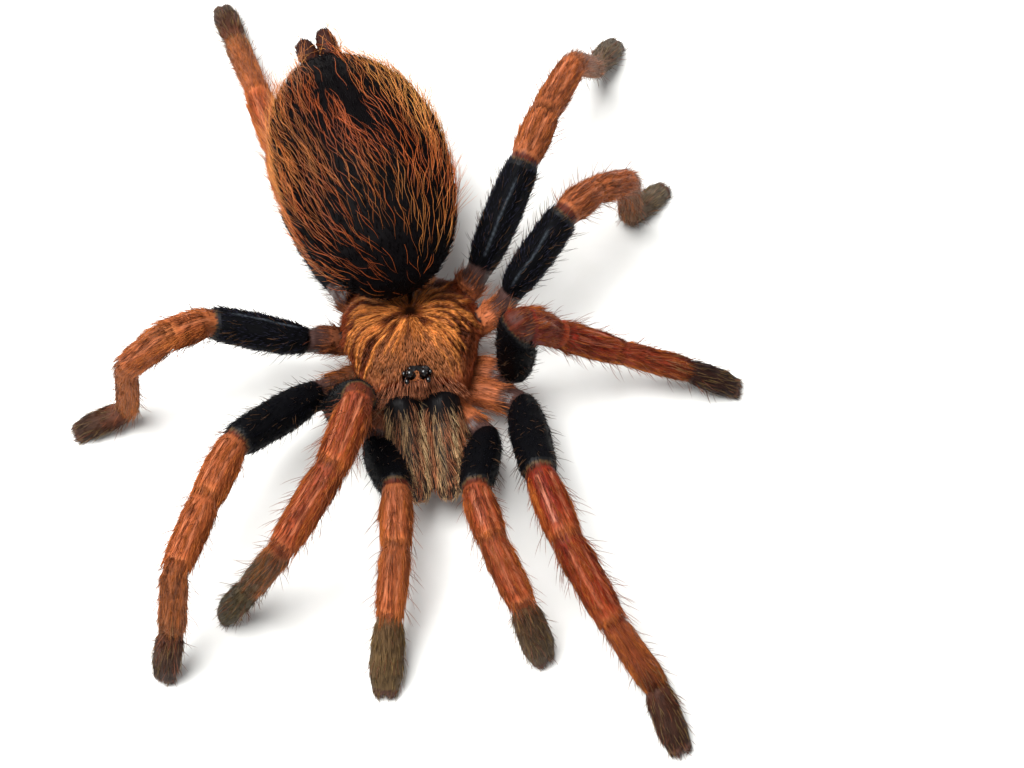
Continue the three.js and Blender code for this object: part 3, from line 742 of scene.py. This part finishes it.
# Horny plate, worn smooth under its hair: brown with a dull satin surface and a faint leathery grain, and a
# deep, smoother black on the mound.
horn, tree = new_material("carapace_cuticle")
where = add(tree, "TexCoord")
leather = add(tree, "TexVoronoi", {"Scale": 1 / (0.14 * MM)}, {"Vector": where.outputs["Object"]})
relief = add(tree, "Bump", {"Strength": 0.25, "Distance": 0.04 * MM}, {"Height": leather.outputs["Distance"]})
shade = spread(tree, noise(tree, 0.5 * MM, 4.0), 0.65, 1.25, NOISE_ENDS)
worn = spread(tree, kept_on(tree, "bare").outputs["Fac"], 0.5, 0.35)
surface(
    tree, {"IOR": 1.55, "Specular IOR Level": 0.01},
    {"Base Color": toned(tree, shade), "Roughness": worn, "Normal": relief.outputs["Normal"]},
)
for node in SHELLS:
    plates[node][0].data.materials.append(horn)

# ---- Eyes ----
# Eight simple eyes on the mound, each a clear, domed lens grown into the cuticle. Two large round ones look
# forward and the rest are ovals beside and behind them.
EYE_RINGS = 20
EYE_SEGMENTS = 32


def egg(name, low, high):
    """A smooth egg that fills a box."""
    polar = np.linspace(0, math.pi, EYE_RINGS + 1)[1:-1]
    turn = np.arange(EYE_SEGMENTS) * 2 * math.pi / EYE_SEGMENTS
    level = np.outer(np.cos(polar), np.ones_like(turn))
    ring = np.stack([np.outer(np.sin(polar), np.cos(turn)), np.outer(np.sin(polar), np.sin(turn)), level], axis=2)
    ring = ring.reshape(-1, 3)
    places = np.concatenate([ring, [[0, 0, 1], [0, 0, -1]]])
    grid = np.arange(len(ring)).reshape(EYE_RINGS - 1, EYE_SEGMENTS)
    after = np.roll(grid, -1, axis=1)
    quads = np.stack([grid[:-1], grid[1:], after[1:], after[:-1]], axis=2).reshape(-1, 4)
    top = columns(np.full(EYE_SEGMENTS, len(ring)), grid[0], after[0])
    bottom = columns(np.full(EYE_SEGMENTS, len(ring) + 1), after[-1], grid[-1])
    low, high = np.array(low), np.array(high)
    return new_piece(name, (low + high) / 2 + places * (high - low) / 2, [quads, np.concatenate([top, bottom])])


def two_tone(tree, one, other, share):
    """A colour between two, by a share of the other."""
    ends = {"data_type": "RGBA", 6: (*linear(one), 1), 7: (*linear(other), 1)}
    return add(tree, "Mix", ends, {0: share}).outputs[2]


# Clear horn over black: a wet, glassy bead with a faint amber depth at the rim.
lens, tree = new_material("eye_lens")
edge_on = add(tree, "LayerWeight", {"Blend": 0.3})
surface(
    tree, {"IOR": 1.53, "Specular IOR Level": 0.5, "Coat Weight": 0.05, "Coat Roughness": 0.04},
    {
        "Base Color": two_tone(tree, "#030202", "#1c0e0a", edge_on.outputs["Facing"]),
        "Roughness": spread(tree, noise(tree, 0.3 * MM, 2.0), 0.18, 0.24),
    },
)
for place in ("front_middle", "front_side", "rear_side", "rear_middle"):
    for side in SIDES:
        node = f"eye_{place}_{side}"
        eye = egg(f"lens_{place}_{side}", *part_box(node))
        eye.data.materials.append(lens)
        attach(eye, "root")
        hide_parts(node)

# ---- Fangs ----
# Two curved fangs of hard black chitin, one hinged to the end of each jaw and folded back under it. Each is
# a single smooth hook that narrows to a point.
FANG_GRAIN = 0.08 * MM
FANG_ROUNDS = 8

# Black chitin, glossy as lacquer, with faint brown streaks where it thins.
chitin, tree = new_material("fang_chitin")
streaks = noise(tree, 0.5 * MM, 3.0)
browned = two_tone(tree, "#0b0706", "#2e140c", streaks)
surface(tree, {"IOR": 1.56}, {"Base Color": browned, "Roughness": spread(tree, streaks, 0.12, 0.28)})
for side in SIDES:
    fang = cast(f"fang_tooth_{side}", [triangles_of(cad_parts[f"fang_{side}"])], FANG_GRAIN, FANG_ROUNDS)
    fang.data.materials.append(chitin)
    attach(fang, "root")
    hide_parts(f"fang_{side}")

# ---- The coat: down, hair and bristles of the limbs ----
# Setae: hollow, tapering hairs of chitin, each rooted in its own socket and combed towards the claws. They
# are modelled as thin solid strands, a little coarser than life so that they show.
ROOT_SINK = 0.05 * MM
FLOOR_CLEAR = 0.05 * MM
LEAST_RISE = 0.03 * MM  # of a strand that follows the ground under it
PATCH = 0.003  # a strand's patch on the coat's own unwrap
STRAND_SIDES = 3


def varying(count):
    """Gives the function that draws a value between two for each of so many strands."""
    return lambda low, high: chance.uniform(low, high, count)


def strands(name, roots, length, width, lift, settle, sway, tint, rings, waves=0.5, hug=None):
    """Joined tapering strands. Each leaves its root at its lift, sinks back by settle, and sways in waves."""
    places, normals, ways, chart = roots
    count = len(places)
    share = np.linspace(0, 1, rings + 1)
    length, width, lift, settle, sway, waves = (
        np.broadcast_to(np.asarray(value, float), (count,))[:, None]
        for value in (length, width, lift, settle, sway, waves)
    )
    slope = lift * (1 - settle * share)
    step = length / rings
    none = np.zeros((count, 1))
    along = np.concatenate([none, np.cumsum(np.cos(slope[:, :-1]) * step, axis=1)], axis=1)
    rise = np.concatenate([none, np.cumsum(np.sin(slope[:, :-1]) * step, axis=1)], axis=1)
    start = chance.random((count, 1)) * 2 * math.pi
    swing = sway * (np.sin(share * 2 * math.pi * waves + start) - np.sin(start))
    across = np.cross(normals, ways)
    path = places[:, None] + ways[:, None] * along[..., None] + across[:, None] * swing[..., None]
    path += normals[:, None] * (rise[..., None] - ROOT_SINK)
    if hug is not None:
        tree, ground, ground_normals = hug
        for k in range(1, rings + 1):
            at = nearest(tree, path[:, k])
            off = ((path[:, k] - ground[at]) * ground_normals[at]).sum(1, keepdims=True)
            path[:, k] += ground_normals[at] * (np.maximum(rise[:, k : k + 1], LEAST_RISE) - off)
    path[..., 2] = np.maximum(path[..., 2], FLOOR_CLEAR)
    forward = unit(np.gradient(path, axis=1))
    side = unit(np.cross(forward, normals[:, None] + 1e-6))
    top = np.cross(side, forward)
    thick = width / 2 * np.sqrt(np.clip(1 - share[None, :-1] ** 2, 0.05, 1))
    turn = np.arange(STRAND_SIDES) * 2 * math.pi / STRAND_SIDES + math.pi / 2
    ring = path[:, :-1, None] + side[:, :-1, None] * (np.cos(turn)[:, None] * thick[:, :, None, None])
    ring = ring + top[:, :-1, None] * (np.sin(turn)[:, None] * thick[:, :, None, None])
    corners = np.concatenate([ring.reshape(count, -1, 3), path[:, -1:]], axis=1).reshape(-1, 3)
    size = rings * STRAND_SIDES + 1
    base = (np.arange(count) * size)[:, None]
    spot = np.arange(rings * STRAND_SIDES).reshape(rings, STRAND_SIDES)
    after = np.roll(spot, -1, axis=1)
    quads = np.stack([spot[:-1], after[:-1], after[1:], spot[1:]], axis=2).reshape(-1)
    tips = columns(spot[-1], after[-1], np.full(STRAND_SIDES, size - 1)).reshape(-1)
    quads = (base + quads).reshape(-1, 4)
    tips = (base + np.concatenate([tips, spot[0][::-1]])).reshape(-1, 3)
    piece = new_piece(name, corners, [quads, tips])
    levels = np.concatenate([np.repeat(share[:-1], STRAND_SIDES), [1.0]])
    mark(piece, "tip", np.tile(levels, count))
    mark(piece, "marking_and_painted_light", np.repeat(np.broadcast_to(tint, (count, 3)), size, axis=0))
    sideways = np.concatenate([np.tile(np.linspace(-0.5, 0.5, STRAND_SIDES), rings), [0.0]])
    corner_chart = chart[:, None] + columns(sideways, levels - 0.5)[None] * PATCH
    corner_chart = corner_chart.reshape(-1, 2)[fetched(piece.data.loops, "vertex_index")]
    piece.data.uv_layers.new(name="OFBake").data.foreach_set("uv", corner_chart.astype(np.float32).ravel())
    return piece


def rooted(faces, count, stray, chart, keep=None, spare=1.0):
    """Random roots on the skin, each with its place, normal, way along the comb and chart value, and the skin
    corner next to it. Where not all are kept, spare says how many times the count to try."""
    picked, shares = scatter(skin_places, faces, int(count * spare))
    corner = faces[picked, shares.argmax(axis=1)]
    if keep is not None:
        kept = chance.random(len(corner)) < keep[corner]
        picked, shares, corner = picked[kept], shares[kept], corner[kept]
    normals = unit(blended(skin_normals, faces, picked, shares))
    ways = turned(blended(comb, faces, picked, shares), normals, chance.uniform(-stray, stray, len(corner)))
    roots = (blended(skin_places, faces, picked, shares), normals, ways, chart[corner])
    return [root[:count] for root in roots], corner[:count]


def joined(name, pieces):
    """Several groups of strands as one piece."""
    with bpy.context.temp_override(active_object=pieces[0], selected_editable_objects=pieces):
        bpy.ops.object.join()
    pieces[0].name = name
    pieces[0].data.name = name
    return pieces[0]


def setae(name, dark, light, roughness, shine):
    """Chitin hairs: darker at the root as painted shade, paler at the tip, a little clumped, with a silky gleam.
    """
    material, tree = new_material(name)
    clumps = noise(tree, 0.9 * MM, 3.0)
    # Painted shade darkens each hair towards its root, where the coat would shade it; the paler tip is the hair's
    # own.
    fade = spread(tree, kept_on(tree, "tip").outputs["Fac"], dark, light)
    clumped = spread(tree, clumps, 0.82, 1.18, NOISE_ENDS)
    value = add(tree, "Math", {"operation": "MULTIPLY"}, {0: fade, 1: clumped})
    dull = spread(tree, clumps, roughness + 0.08, roughness - 0.08)
    surface(
        tree, {"IOR": 1.55, "Specular IOR Level": shine},
        {"Base Color": toned(tree, value.outputs[0]), "Roughness": dull},
    )
    return material


leg_setae = setae("leg_setae", 0.6, 1.3, 0.36, 0.16)
velvet_setae = setae("black_velvet_setae", 0.8, 1.2, 0.55, 0.06)  # all but matt, as velvet is


def dress(piece, material):
    """Gives a coat piece its material, and its place in the frame."""
    piece.data.materials.append(material)
    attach(piece, "root")


# How many strands of down, hair, bristle and femur velvet grow on each kind of limb.
STRAND_COUNTS = {
    "palp": (5200, 700, 300, 900), "leg_1": (8200, 1000, 520, 1400), "leg_2": (7800, 1000, 500, 1300),
    "leg_3": (7200, 900, 460, 1200), "leg_4": (8800, 1100, 520, 1500),
}
DOWN_SPARE = 1.4  # times as many roots are tried as grow
VELVET_SPARE = 2.6
# Lengths in millimetres at each reach along a limb.
LENGTH_REACH = [0, 0.68, 0.78, 1, 2, 2.1, 4.8, 5.2, 6]
DOWN_LENGTHS = (LENGTH_REACH, [1.3, 1.4, 0.5, 0.4, 0.5, 1.6, 1.6, 1.2, 0.7])
HAIR_LENGTHS = (LENGTH_REACH, [2.2, 2.2, 0.9, 0.8, 1.0, 1.7, 1.8, 1.7, 1.0])
BRISTLE_LENGTHS = ([0, 1, 2, 2.5, 5, 6], [2.6, 1.6, 2.0, 2.6, 2.2, 1.2])
HAIR_GOLD = linear("#b8682c")
OLIVE_GOLD = linear("#94784a")
BRISTLE_PINK = linear("#86482c")
BRISTLE_OLIVE = linear("#6a4c34")
FEMUR_VELVET = linear("#0a0a10")
HIND_VELVET_SHEEN = 4.0  # times as bright on the hind femora, as painted sheen
STREAK_SIZE = 0.55 * MM
STREAK_STRETCH = 8
# How far painted rim light turns the down on a limb's flanks golden.
FLANK_RIM_LIGHT = 0.4
PAST_KNEE = 2.02  # where the rust hair begins


def streaks_at(limb, places, seed):
    """Long light and dark streaks in the lie of the hair, between about -1 and 1."""
    _, angle, _, length = limb_reach(places, limb)
    unrolled = columns(np.cos(angle) * LIMB_GIRTH, np.sin(angle) * LIMB_GIRTH, length / STREAK_STRETCH)
    return np.clip(drift(unrolled, STREAK_SIZE, seed), -1, 1)


on_femur = (reach_at > 1.0) & (reach_at < 1.99)
furred = (1 - 0.95 * bald(reach_at, angle_at)) * ~on_femur  # hardly any rust hair grows on the bald stripes
velvety = on_femur * (1 - line_at)
femur_velvet = []
for k, limb in enumerate(LIMBS):
    faces = skin_corners[limb_at[skin_corners[:, 0]] == k]
    down_count, hair_count, bristle_count, velvet_count = STRAND_COUNTS[limb.rsplit("_", 1)[0]]
    # The unwrap runs along the limb one way and round it the other, and the femora's lie side by side.
    limb_chart = columns(0.02 + 0.96 * length_at / lines[limb]["length"][-1], 0.5 + 0.48 * angle_at / math.pi)
    femur_chart = columns(limb_chart[:, 0], (k + limb_chart[:, 1]) / len(LIMBS))

    roots, corner = rooted(faces, down_count, 0.11, limb_chart, furred, DOWN_SPARE)
    vary, reach = varying(len(corner)), reach_at[corner]
    streak = streaks_at(limb, roots[0], k)
    # Painted rim light: the down is painted golden and brighter towards each limb's flanks, and darker on its
    # top.
    flank = ramp(np.abs(angle_at[corner]), 0.55, 1.45)
    past_knee = np.where((reach > 1.9) & (reach < PAST_KNEE), PAST_KNEE, reach)
    tint = limb_colour(limb, past_knee + vary(-0.012, 0.012)) * vary(0.6, 1.4)[:, None]
    golden = (np.clip(streak - 0.2, 0, 0.5) + FLANK_RIM_LIGHT * flank) * ((reach > 2) & (reach < 4.9))
    down = strands(
        "down", roots, length=np.interp(reach, *DOWN_LENGTHS) * MM * vary(0.7, 1.25),
        width=0.038 * MM * vary(0.8, 1.3), lift=vary(0.04, 0.15), settle=0.9, sway=0.02 * MM,
        tint=mixed(tint, HAIR_GOLD, golden) * ((1 + 0.4 * streak) * (0.8 + 0.2 * flank))[:, None], rings=2,
    )

    roots, corner = rooted(faces, hair_count, 0.2, limb_chart, furred)
    vary, reach = varying(len(corner)), reach_at[corner]
    pale = np.where((reach > 4.6)[:, None], OLIVE_GOLD, HAIR_GOLD) * vary(0.5, 1.1)[:, None]
    hair = strands(
        "hair", roots, length=np.interp(reach, *HAIR_LENGTHS) * MM * vary(0.7, 1.3),
        width=0.05 * MM, lift=vary(0.1, 0.34), settle=0.8, sway=0.05 * MM,
        tint=limb_colour(limb, reach) * 0.45 + pale * 0.65, rings=3,
    )

    roots, corner = rooted(faces, bristle_count, 0.35, limb_chart)
    vary, reach = varying(len(corner)), reach_at[corner]
    pale = np.where(on_femur[corner][:, None], BRISTLE_OLIVE, BRISTLE_PINK) * vary(0.5, 1.1)[:, None]
    bristles = strands(
        "bristles", roots, length=np.interp(reach, *BRISTLE_LENGTHS) * MM * vary(0.4, 1.1), width=0.05 * MM,
        lift=vary(0.5, 1.05), settle=vary(0.2, 0.6), sway=0.08 * MM,
        tint=limb_colour(limb, reach) * 0.3 + pale * 0.7, rings=4,
    )
    dress(joined(f"coat_{limb}", [down, hair, bristles]), leg_setae)

    roots, corner = rooted(faces, velvet_count, 0.2, femur_chart, velvety, VELVET_SPARE)
    vary = varying(len(corner))
    # The velvet on the hind femora is brightened as painted sheen.
    femur_velvet.append(strands(
        "velvet", roots, length=0.65 * MM * vary(0.7, 1.3), width=0.055 * MM,
        lift=vary(0.25, 0.55), settle=0.6, sway=0.02 * MM,
        tint=FEMUR_VELVET * vary(0.4, 2.0)[:, None] * (HIND_VELVET_SHEEN if hind[k] else 1.0), rings=2,
    ))
dress(joined("coat_femora", femur_velvet), velvet_setae)

# ---- The coat of the abdomen ----
# Short black velvet, and over it long, thin, wavy rust and golden hairs that lie back towards the
# spinnerets, few in front and none on the bald patch before the spinnerets. A faint fringe stands out round
# the sides and the rear.
HAIR_RUST = linear("#ac5020")
ABDOMEN_GOLD = linear("#cc8c46")
FRINGE_PINK = linear("#cc7c44")
LONG_COUNT = 1800
LONG_TRIES = 2700
FRINGE_COUNT = 2800
ABDOMEN_VELVET_COUNT = 9500
PATCH_HALF = 0.42  # of the bald patch at the spinnerets, as an angle round the abdomen
PATCH_FROM = 0.55
WHORL_BACK = 0.48  # where the long hairs turn aside in a whorl
WHORL_ANGLE = 0.15
abdomen_faces = skin_corners[on_back[skin_corners[:, 0]]]


def on_patch(places):
    """1 on the bald wedge in front of the spinnerets."""
    back, angle = abdomen_reach(places)
    half = np.interp(back, [PATCH_FROM, 1.0], [0.0, PATCH_HALF])
    return np.clip((half - np.abs(angle - PATCH_ANGLE)) / 0.05 + 0.5, 0, 1) * (back > PATCH_FROM)


# How thick the long hair and the fringe grow. The abdomen's unwrap runs along it and round it.
long_share = np.interp(back_at, [-0.34, -0.22, -0.05, 0.15, 0.97, 1], [0.1, 0.4, 0.75, 1.0, 1.0, 0])
fringed = np.clip(back_at + 0.1, 0, 1) * (np.abs(around_at) > 0.6)
abdomen_chart = columns(np.clip((back_at + 0.35) / 1.65, 0.02, 0.98), 0.5 + 0.48 * around_at / math.pi)

(spot, normal, way, chart), corner = rooted(abdomen_faces, LONG_TRIES, 0.22, abdomen_chart, long_share)
back, angle = back_at[corner], around_at[corner]
length = np.interp(back, [-0.3, -0.15, 0.1, 1], [1.4, 2.6, 4.0, 4.0]) * MM * varying(len(spot))(0.6, 1.25)
whorl = bell(back, WHORL_BACK, 0.16) * bell(angle, WHORL_ANGLE, 0.4)
swirl = 0.5 * ramp(-angle, 0.2, 0.8) - 0.16 + 0.75 * whorl + 0.15 * drift(spot, 4 * MM, 5)
way = turned(way, normal, swirl)
covered = np.max([on_patch(spot + way * (length * share)[:, None]) for share in (0, 0.35, 0.7, 1)], axis=0)
keep = np.flatnonzero(chance.random(len(spot)) > 0.97 * covered)[:LONG_COUNT]
spot, normal, way, chart, corner, back, angle, length = (
    a[keep] for a in (spot, normal, way, chart, corner, back, angle, length)
)
vary = varying(len(spot))
aside = np.clip(np.abs(angle + 0.2) - 0.55, 0, 0.6) * np.clip(back * 2, 0, 1)
gold = np.clip(0.25 * drift(spot, 6 * MM, 8) + 1.2 * aside + vary(-0.25, 0.35), 0, 1)
in_front = np.interp(back, [-0.3, 0.2], [0.5, 1.0])[:, None]
long_hair = strands(
    "long", (spot, normal, way, chart), length=length, width=0.046 * MM * vary(0.8, 1.2),
    lift=vary(0.12, 0.4), settle=vary(0.6, 1.3), sway=0.16 * MM * vary(0.3, 1.6),
    tint=mixed(HAIR_RUST, ABDOMEN_GOLD, gold) * vary(0.5, 1.45)[:, None] * in_front, rings=8,
    waves=length / (3.6 * MM), hug=(tree_of(skin_places), skin_places, skin_normals),
)
roots, corner = rooted(abdomen_faces, FRINGE_COUNT, 0.3, abdomen_chart, fringed)
vary = varying(len(corner))
fringe = strands(
    "fringe", roots, length=2.9 * MM * vary(0.5, 1.3), width=0.036 * MM,
    lift=vary(0.5, 1.0), settle=vary(0.1, 0.5), sway=0.1 * MM,
    tint=FRINGE_PINK * vary(0.6, 1.1)[:, None], rings=4, waves=0.6,
)
abdomen_setae = setae("abdomen_setae", 0.5, 1.45, 0.34, 0.22)
dress(joined("coat_abdomen", [long_hair, fringe]), abdomen_setae)

roots, corner = rooted(abdomen_faces, ABDOMEN_VELVET_COUNT, 0.35, abdomen_chart)
vary = varying(len(corner))
velvet = strands(
    "coat_abdomen_velvet", roots, length=np.where(on_spinneret[corner], 0.5, 0.85) * MM * vary(0.6, 1.3),
    width=0.08 * MM, lift=vary(0.2, 0.6), settle=0.7, sway=0.04 * MM,
    tint=colour[corner] * vary(0.5, 1.7)[:, None], rings=2,
)
dress(velvet, velvet_setae)

# ---- The coat of the carapace ----
# Flat copper and golden hair in rays from the fovea, with dark gaps between them. A loose fringe hangs over
# the leg bases, and a close row of stiff rust-brown bristles points forward over the jaws.
CARAPACE_COUNT = 17500
CARAPACE_SPARE = 3
CARAPACE_GOLD = linear("#ee9448")
COPPER_HAIR = linear("#6e3214")
FRINGE_RUST = linear("#8c3c1c")
HEAD_BROWN = linear("#bc7444")
CHART_SPAN = 20 * MM
BETWEEN_EYES = 0.15 * MM  # to either side: the line of hair that runs over the mound
SHORT_HAIR = 0.6 * MM
carapace_setae = setae("carapace_setae", 0.65, 1.25, 0.4, 0.22)
_, places, corners, normals = plates["carapace"]
carapace_middle = np.array([body_x, (carapace_low.y + carapace_high.y) / 2])


def carapace_chart(places):
    return 0.5 + (places[:, :2] - carapace_middle) / CHART_SPAN


picked, shares = scatter(places, corners, CARAPACE_COUNT * CARAPACE_SPARE)
spot = blended(places, corners, picked, shares)
normal = unit(blended(normals, corners, picked, shares))
ray, edge = bundle_at(spot), rim_share(spot)
bearing, away = carapace_reach(spot)
heading = bearing - carapace_lie(spot)[1]
outward = columns(np.sin(heading), -np.cos(heading), np.zeros(len(spot)))
mound_at, mound_at_tip = on_mound(spot), on_mound(spot + outward * SHORT_HAIR)
in_front = spot[:, 1] < mound_middle[1] + 0.6 * MM
between_eyes = np.abs(spot[:, 0] - mound_middle[0]) < BETWEEN_EYES
on_head = (np.abs(bearing) < 0.7) & (away > 1.5 * MM)
growth = 0.3 + 0.7 * np.max([ray, 0.7 * (edge > 0.86), 0.6 * on_head], axis=0)
growth = growth * ((mound_at <= 0.3) | between_eyes) * ~(in_front & (normal[:, 1] < -0.6))
growth = growth * (normal[:, 2] > -0.1)
growth = np.where(between_eyes & (mound_at_tip > 0), 1, growth * (mound_at_tip < 0.4))
keep = np.flatnonzero(chance.random(len(spot)) < growth)[:CARAPACE_COUNT]
spot, normal, edge, ray, in_front, bearing, away, outward = (
    a[keep] for a in (spot, normal, edge, ray, in_front, bearing, away, outward)
)
vary = varying(len(spot))
way = turned(outward, normal, vary(-0.14, 0.14))
fringe = ramp(edge, 0.88, 0.96)
head = ramp(np.abs(bearing), 0.75, 0.55) * ramp(away, 2 * MM, 4 * MM)
gold = np.clip(1.5 * ray - 0.4 - 0.2 * head + vary(-0.25, 0.15), 0, 1)
tint = mixed(mixed(COPPER_HAIR, HEAD_BROWN, 0.75 * head), CARAPACE_GOLD, gold) * vary(0.5, 1.35)[:, None]
flat = strands(
    "flat", (spot, normal, way, carapace_chart(spot)),
    length=(0.85 + 0.4 * fringe - 0.45 * in_front) * MM * vary(0.65, 1.3),
    width=0.052 * MM * vary(0.8, 1.3), lift=vary(0.06, 0.26) + 0.15 * fringe, settle=0.85,
    sway=0.03 * MM, tint=mixed(tint, FRINGE_RUST, 0.75 * fringe), rings=2, waves=0.6,
)

CLYPEUS_COUNT = 640
CLYPEUS_RUST = linear("#bc7450")
CLYPEUS_LONG = 3.4 * MM
CLYPEUS_ABOVE = 0.5 * MM
front = (places[:, 1] < carapace_low.y + CLYPEUS_LONG) & (places[:, 2] > carapace_low.z + CLYPEUS_ABOVE)
front_faces = corners[(front & (normals[:, 1] < -0.5))[corners[:, 0]]]
picked, shares = scatter(places, front_faces, CLYPEUS_COUNT)
spot = blended(places, front_faces, picked, shares)
count, vary = len(spot), varying(len(spot))
fan = (spot[:, 0] - body_x) / (4.5 * MM) * 0.8 + vary(-0.1, 0.1)
way = unit(columns(np.sin(fan), -np.cos(fan), np.full(count, -0.25)))
clypeus = strands(
    "clypeus", (spot, np.tile((0.0, 0.0, 1.0), (count, 1)), way, carapace_chart(spot)),
    length=1.25 * MM * vary(0.7, 1.15), width=0.045 * MM, lift=vary(0.0, 0.3), settle=1.4,
    sway=0.04 * MM, tint=CLYPEUS_RUST * vary(0.5, 1.6)[:, None], rings=3,
)
dress(joined("coat_carapace", [flat, clypeus]), carapace_setae)

# ---- The coat of the jaws ----
# Long olive, khaki and rust bristles over a black ground, combed forward and down and drawn together
# towards the groove between the jaws. The bases are almost bare.
JAW_COUNT = 2900
JAW_KHAKI = linear("#b89a70")
JAW_RUST = linear("#9a5c3c")
JAW_STRIPE = 0.23 * MM
JAW_HEIGHT = 4.5 * MM
jaw_haired = np.clip((jaw_share - JAW_BARE_END + 0.25) / 0.35, 0.05, 1)
jaw_faces = skin_corners[on_jaw[skin_corners[:, 0]]]
(spot, normal, way, along), corner = rooted(jaw_faces, JAW_COUNT, 0.22, jaw_share, jaw_haired)
vary = varying(len(spot))
inward = np.clip((spot[:, 0] - mound_middle[0]) / (2 * MM), -1, 1)
way = turned(way, normal, 0.22 * inward + 0.15 * drift(spot, 2.2 * MM, 12))
rust = np.clip(0.6 + 0.5 * np.sin(spot[:, 0] / JAW_STRIPE) + vary(-0.4, 0.4), 0, 1)
paler = np.interp(along, [-1, -0.3, 0.6], [0.4, 1.0, 1.35])[:, None]
jaw_angle = np.arctan2(spot[:, 0] - body_x, spot[:, 2] - JAW_HEIGHT)
chart = columns(0.5 + 0.36 * along, 0.5 + 0.48 * jaw_angle / math.pi)
jaw_hair = strands(
    "coat_jaws", (spot, normal, way, chart),
    length=2.0 * MM * vary(0.5, 1.3) * np.clip((1.2 - along) / 0.6, 0.35, 1),
    width=0.042 * MM * vary(0.7, 1.2), lift=vary(0.1, 0.4), settle=0.6, sway=0.04 * MM,
    tint=mixed(JAW_KHAKI, JAW_RUST, rust) * vary(0.25, 1.8)[:, None] * paler, rings=3,
)
dress(jaw_hair, leg_setae)

# ---- The stand-in studio ----
# A plain matt table top, one broad soft lamp above and to the animal's right, and an even white room
# around them.
FLOOR_HALF = 1.2

# Painted board, dead matt, just uneven enough in tone to look real.
plaster, tree = new_material("matt_white_board")
surface(
    tree, {"Roughness": 0.85, "IOR": 1.45},
    {"Base Color": two_tone(tree, "#e9e9e4", "#f1f1ee", noise(tree, 2.5 * MM, 4.0))},
)
floor_places = np.array([[-1, -1, 0], [1, -1, 0], [1, 1, 0], [-1, 1, 0]]) * FLOOR_HALF
floor = new_piece("floor", floor_places, [np.array([[0, 1, 2, 3]])])
floor.data.materials.append(plaster)

ROOM_WHITE = (0.95, 0.97, 1.0, 1)
ROOM_LIGHT = 0.42
scene = bpy.context.scene
scene.world = bpy.data.worlds.new("white_room")
scene.world.use_nodes = True
room = scene.world.node_tree.nodes["Background"].inputs
room["Color"].default_value = ROOM_WHITE
room["Strength"].default_value = ROOM_LIGHT

# The middle of the view, beside the sternum.
sternum_low, sternum_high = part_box("sternum")
AIM = (sternum_low + sternum_high) / 2 + Vector((9.14 * MM, -5.36 * MM, 0))
AIM.z = 5.98 * MM
LAMP_PLACE = Vector((-0.11, 0.02, 0.35))
LAMP_SIZE = 0.26
LAMP_POWER = 2.95
light = bpy.data.lights.new("key_lamp", "AREA")
light.size = LAMP_SIZE
light.energy = LAMP_POWER
lamp = placed("key_lamp", light)
lamp.location = LAMP_PLACE
lamp.rotation_euler = (AIM - lamp.location).to_track_quat("-Z", "Y").to_euler()

# The camera looks down on the animal from in front, a little to its right.
CAMERA_TURN = math.radians(-6)
CAMERA_HEIGHT = math.radians(62)
CAMERA_AWAY = 163 * MM
CAMERA_LENS = 59.77
level = math.cos(CAMERA_HEIGHT)
camera_back = Vector((math.sin(CAMERA_TURN) * level, -math.cos(CAMERA_TURN) * level, math.sin(CAMERA_HEIGHT)))
camera_data = bpy.data.cameras.new("camera")
camera_data.lens = CAMERA_LENS
camera_data.sensor_width = 36
camera = placed("camera", camera_data)
camera.location = AIM + camera_back * CAMERA_AWAY
camera.rotation_euler = (math.pi / 2 - CAMERA_HEIGHT, 0, CAMERA_TURN)
scene.camera = camera
scene.view_settings.view_transform = "Standard"
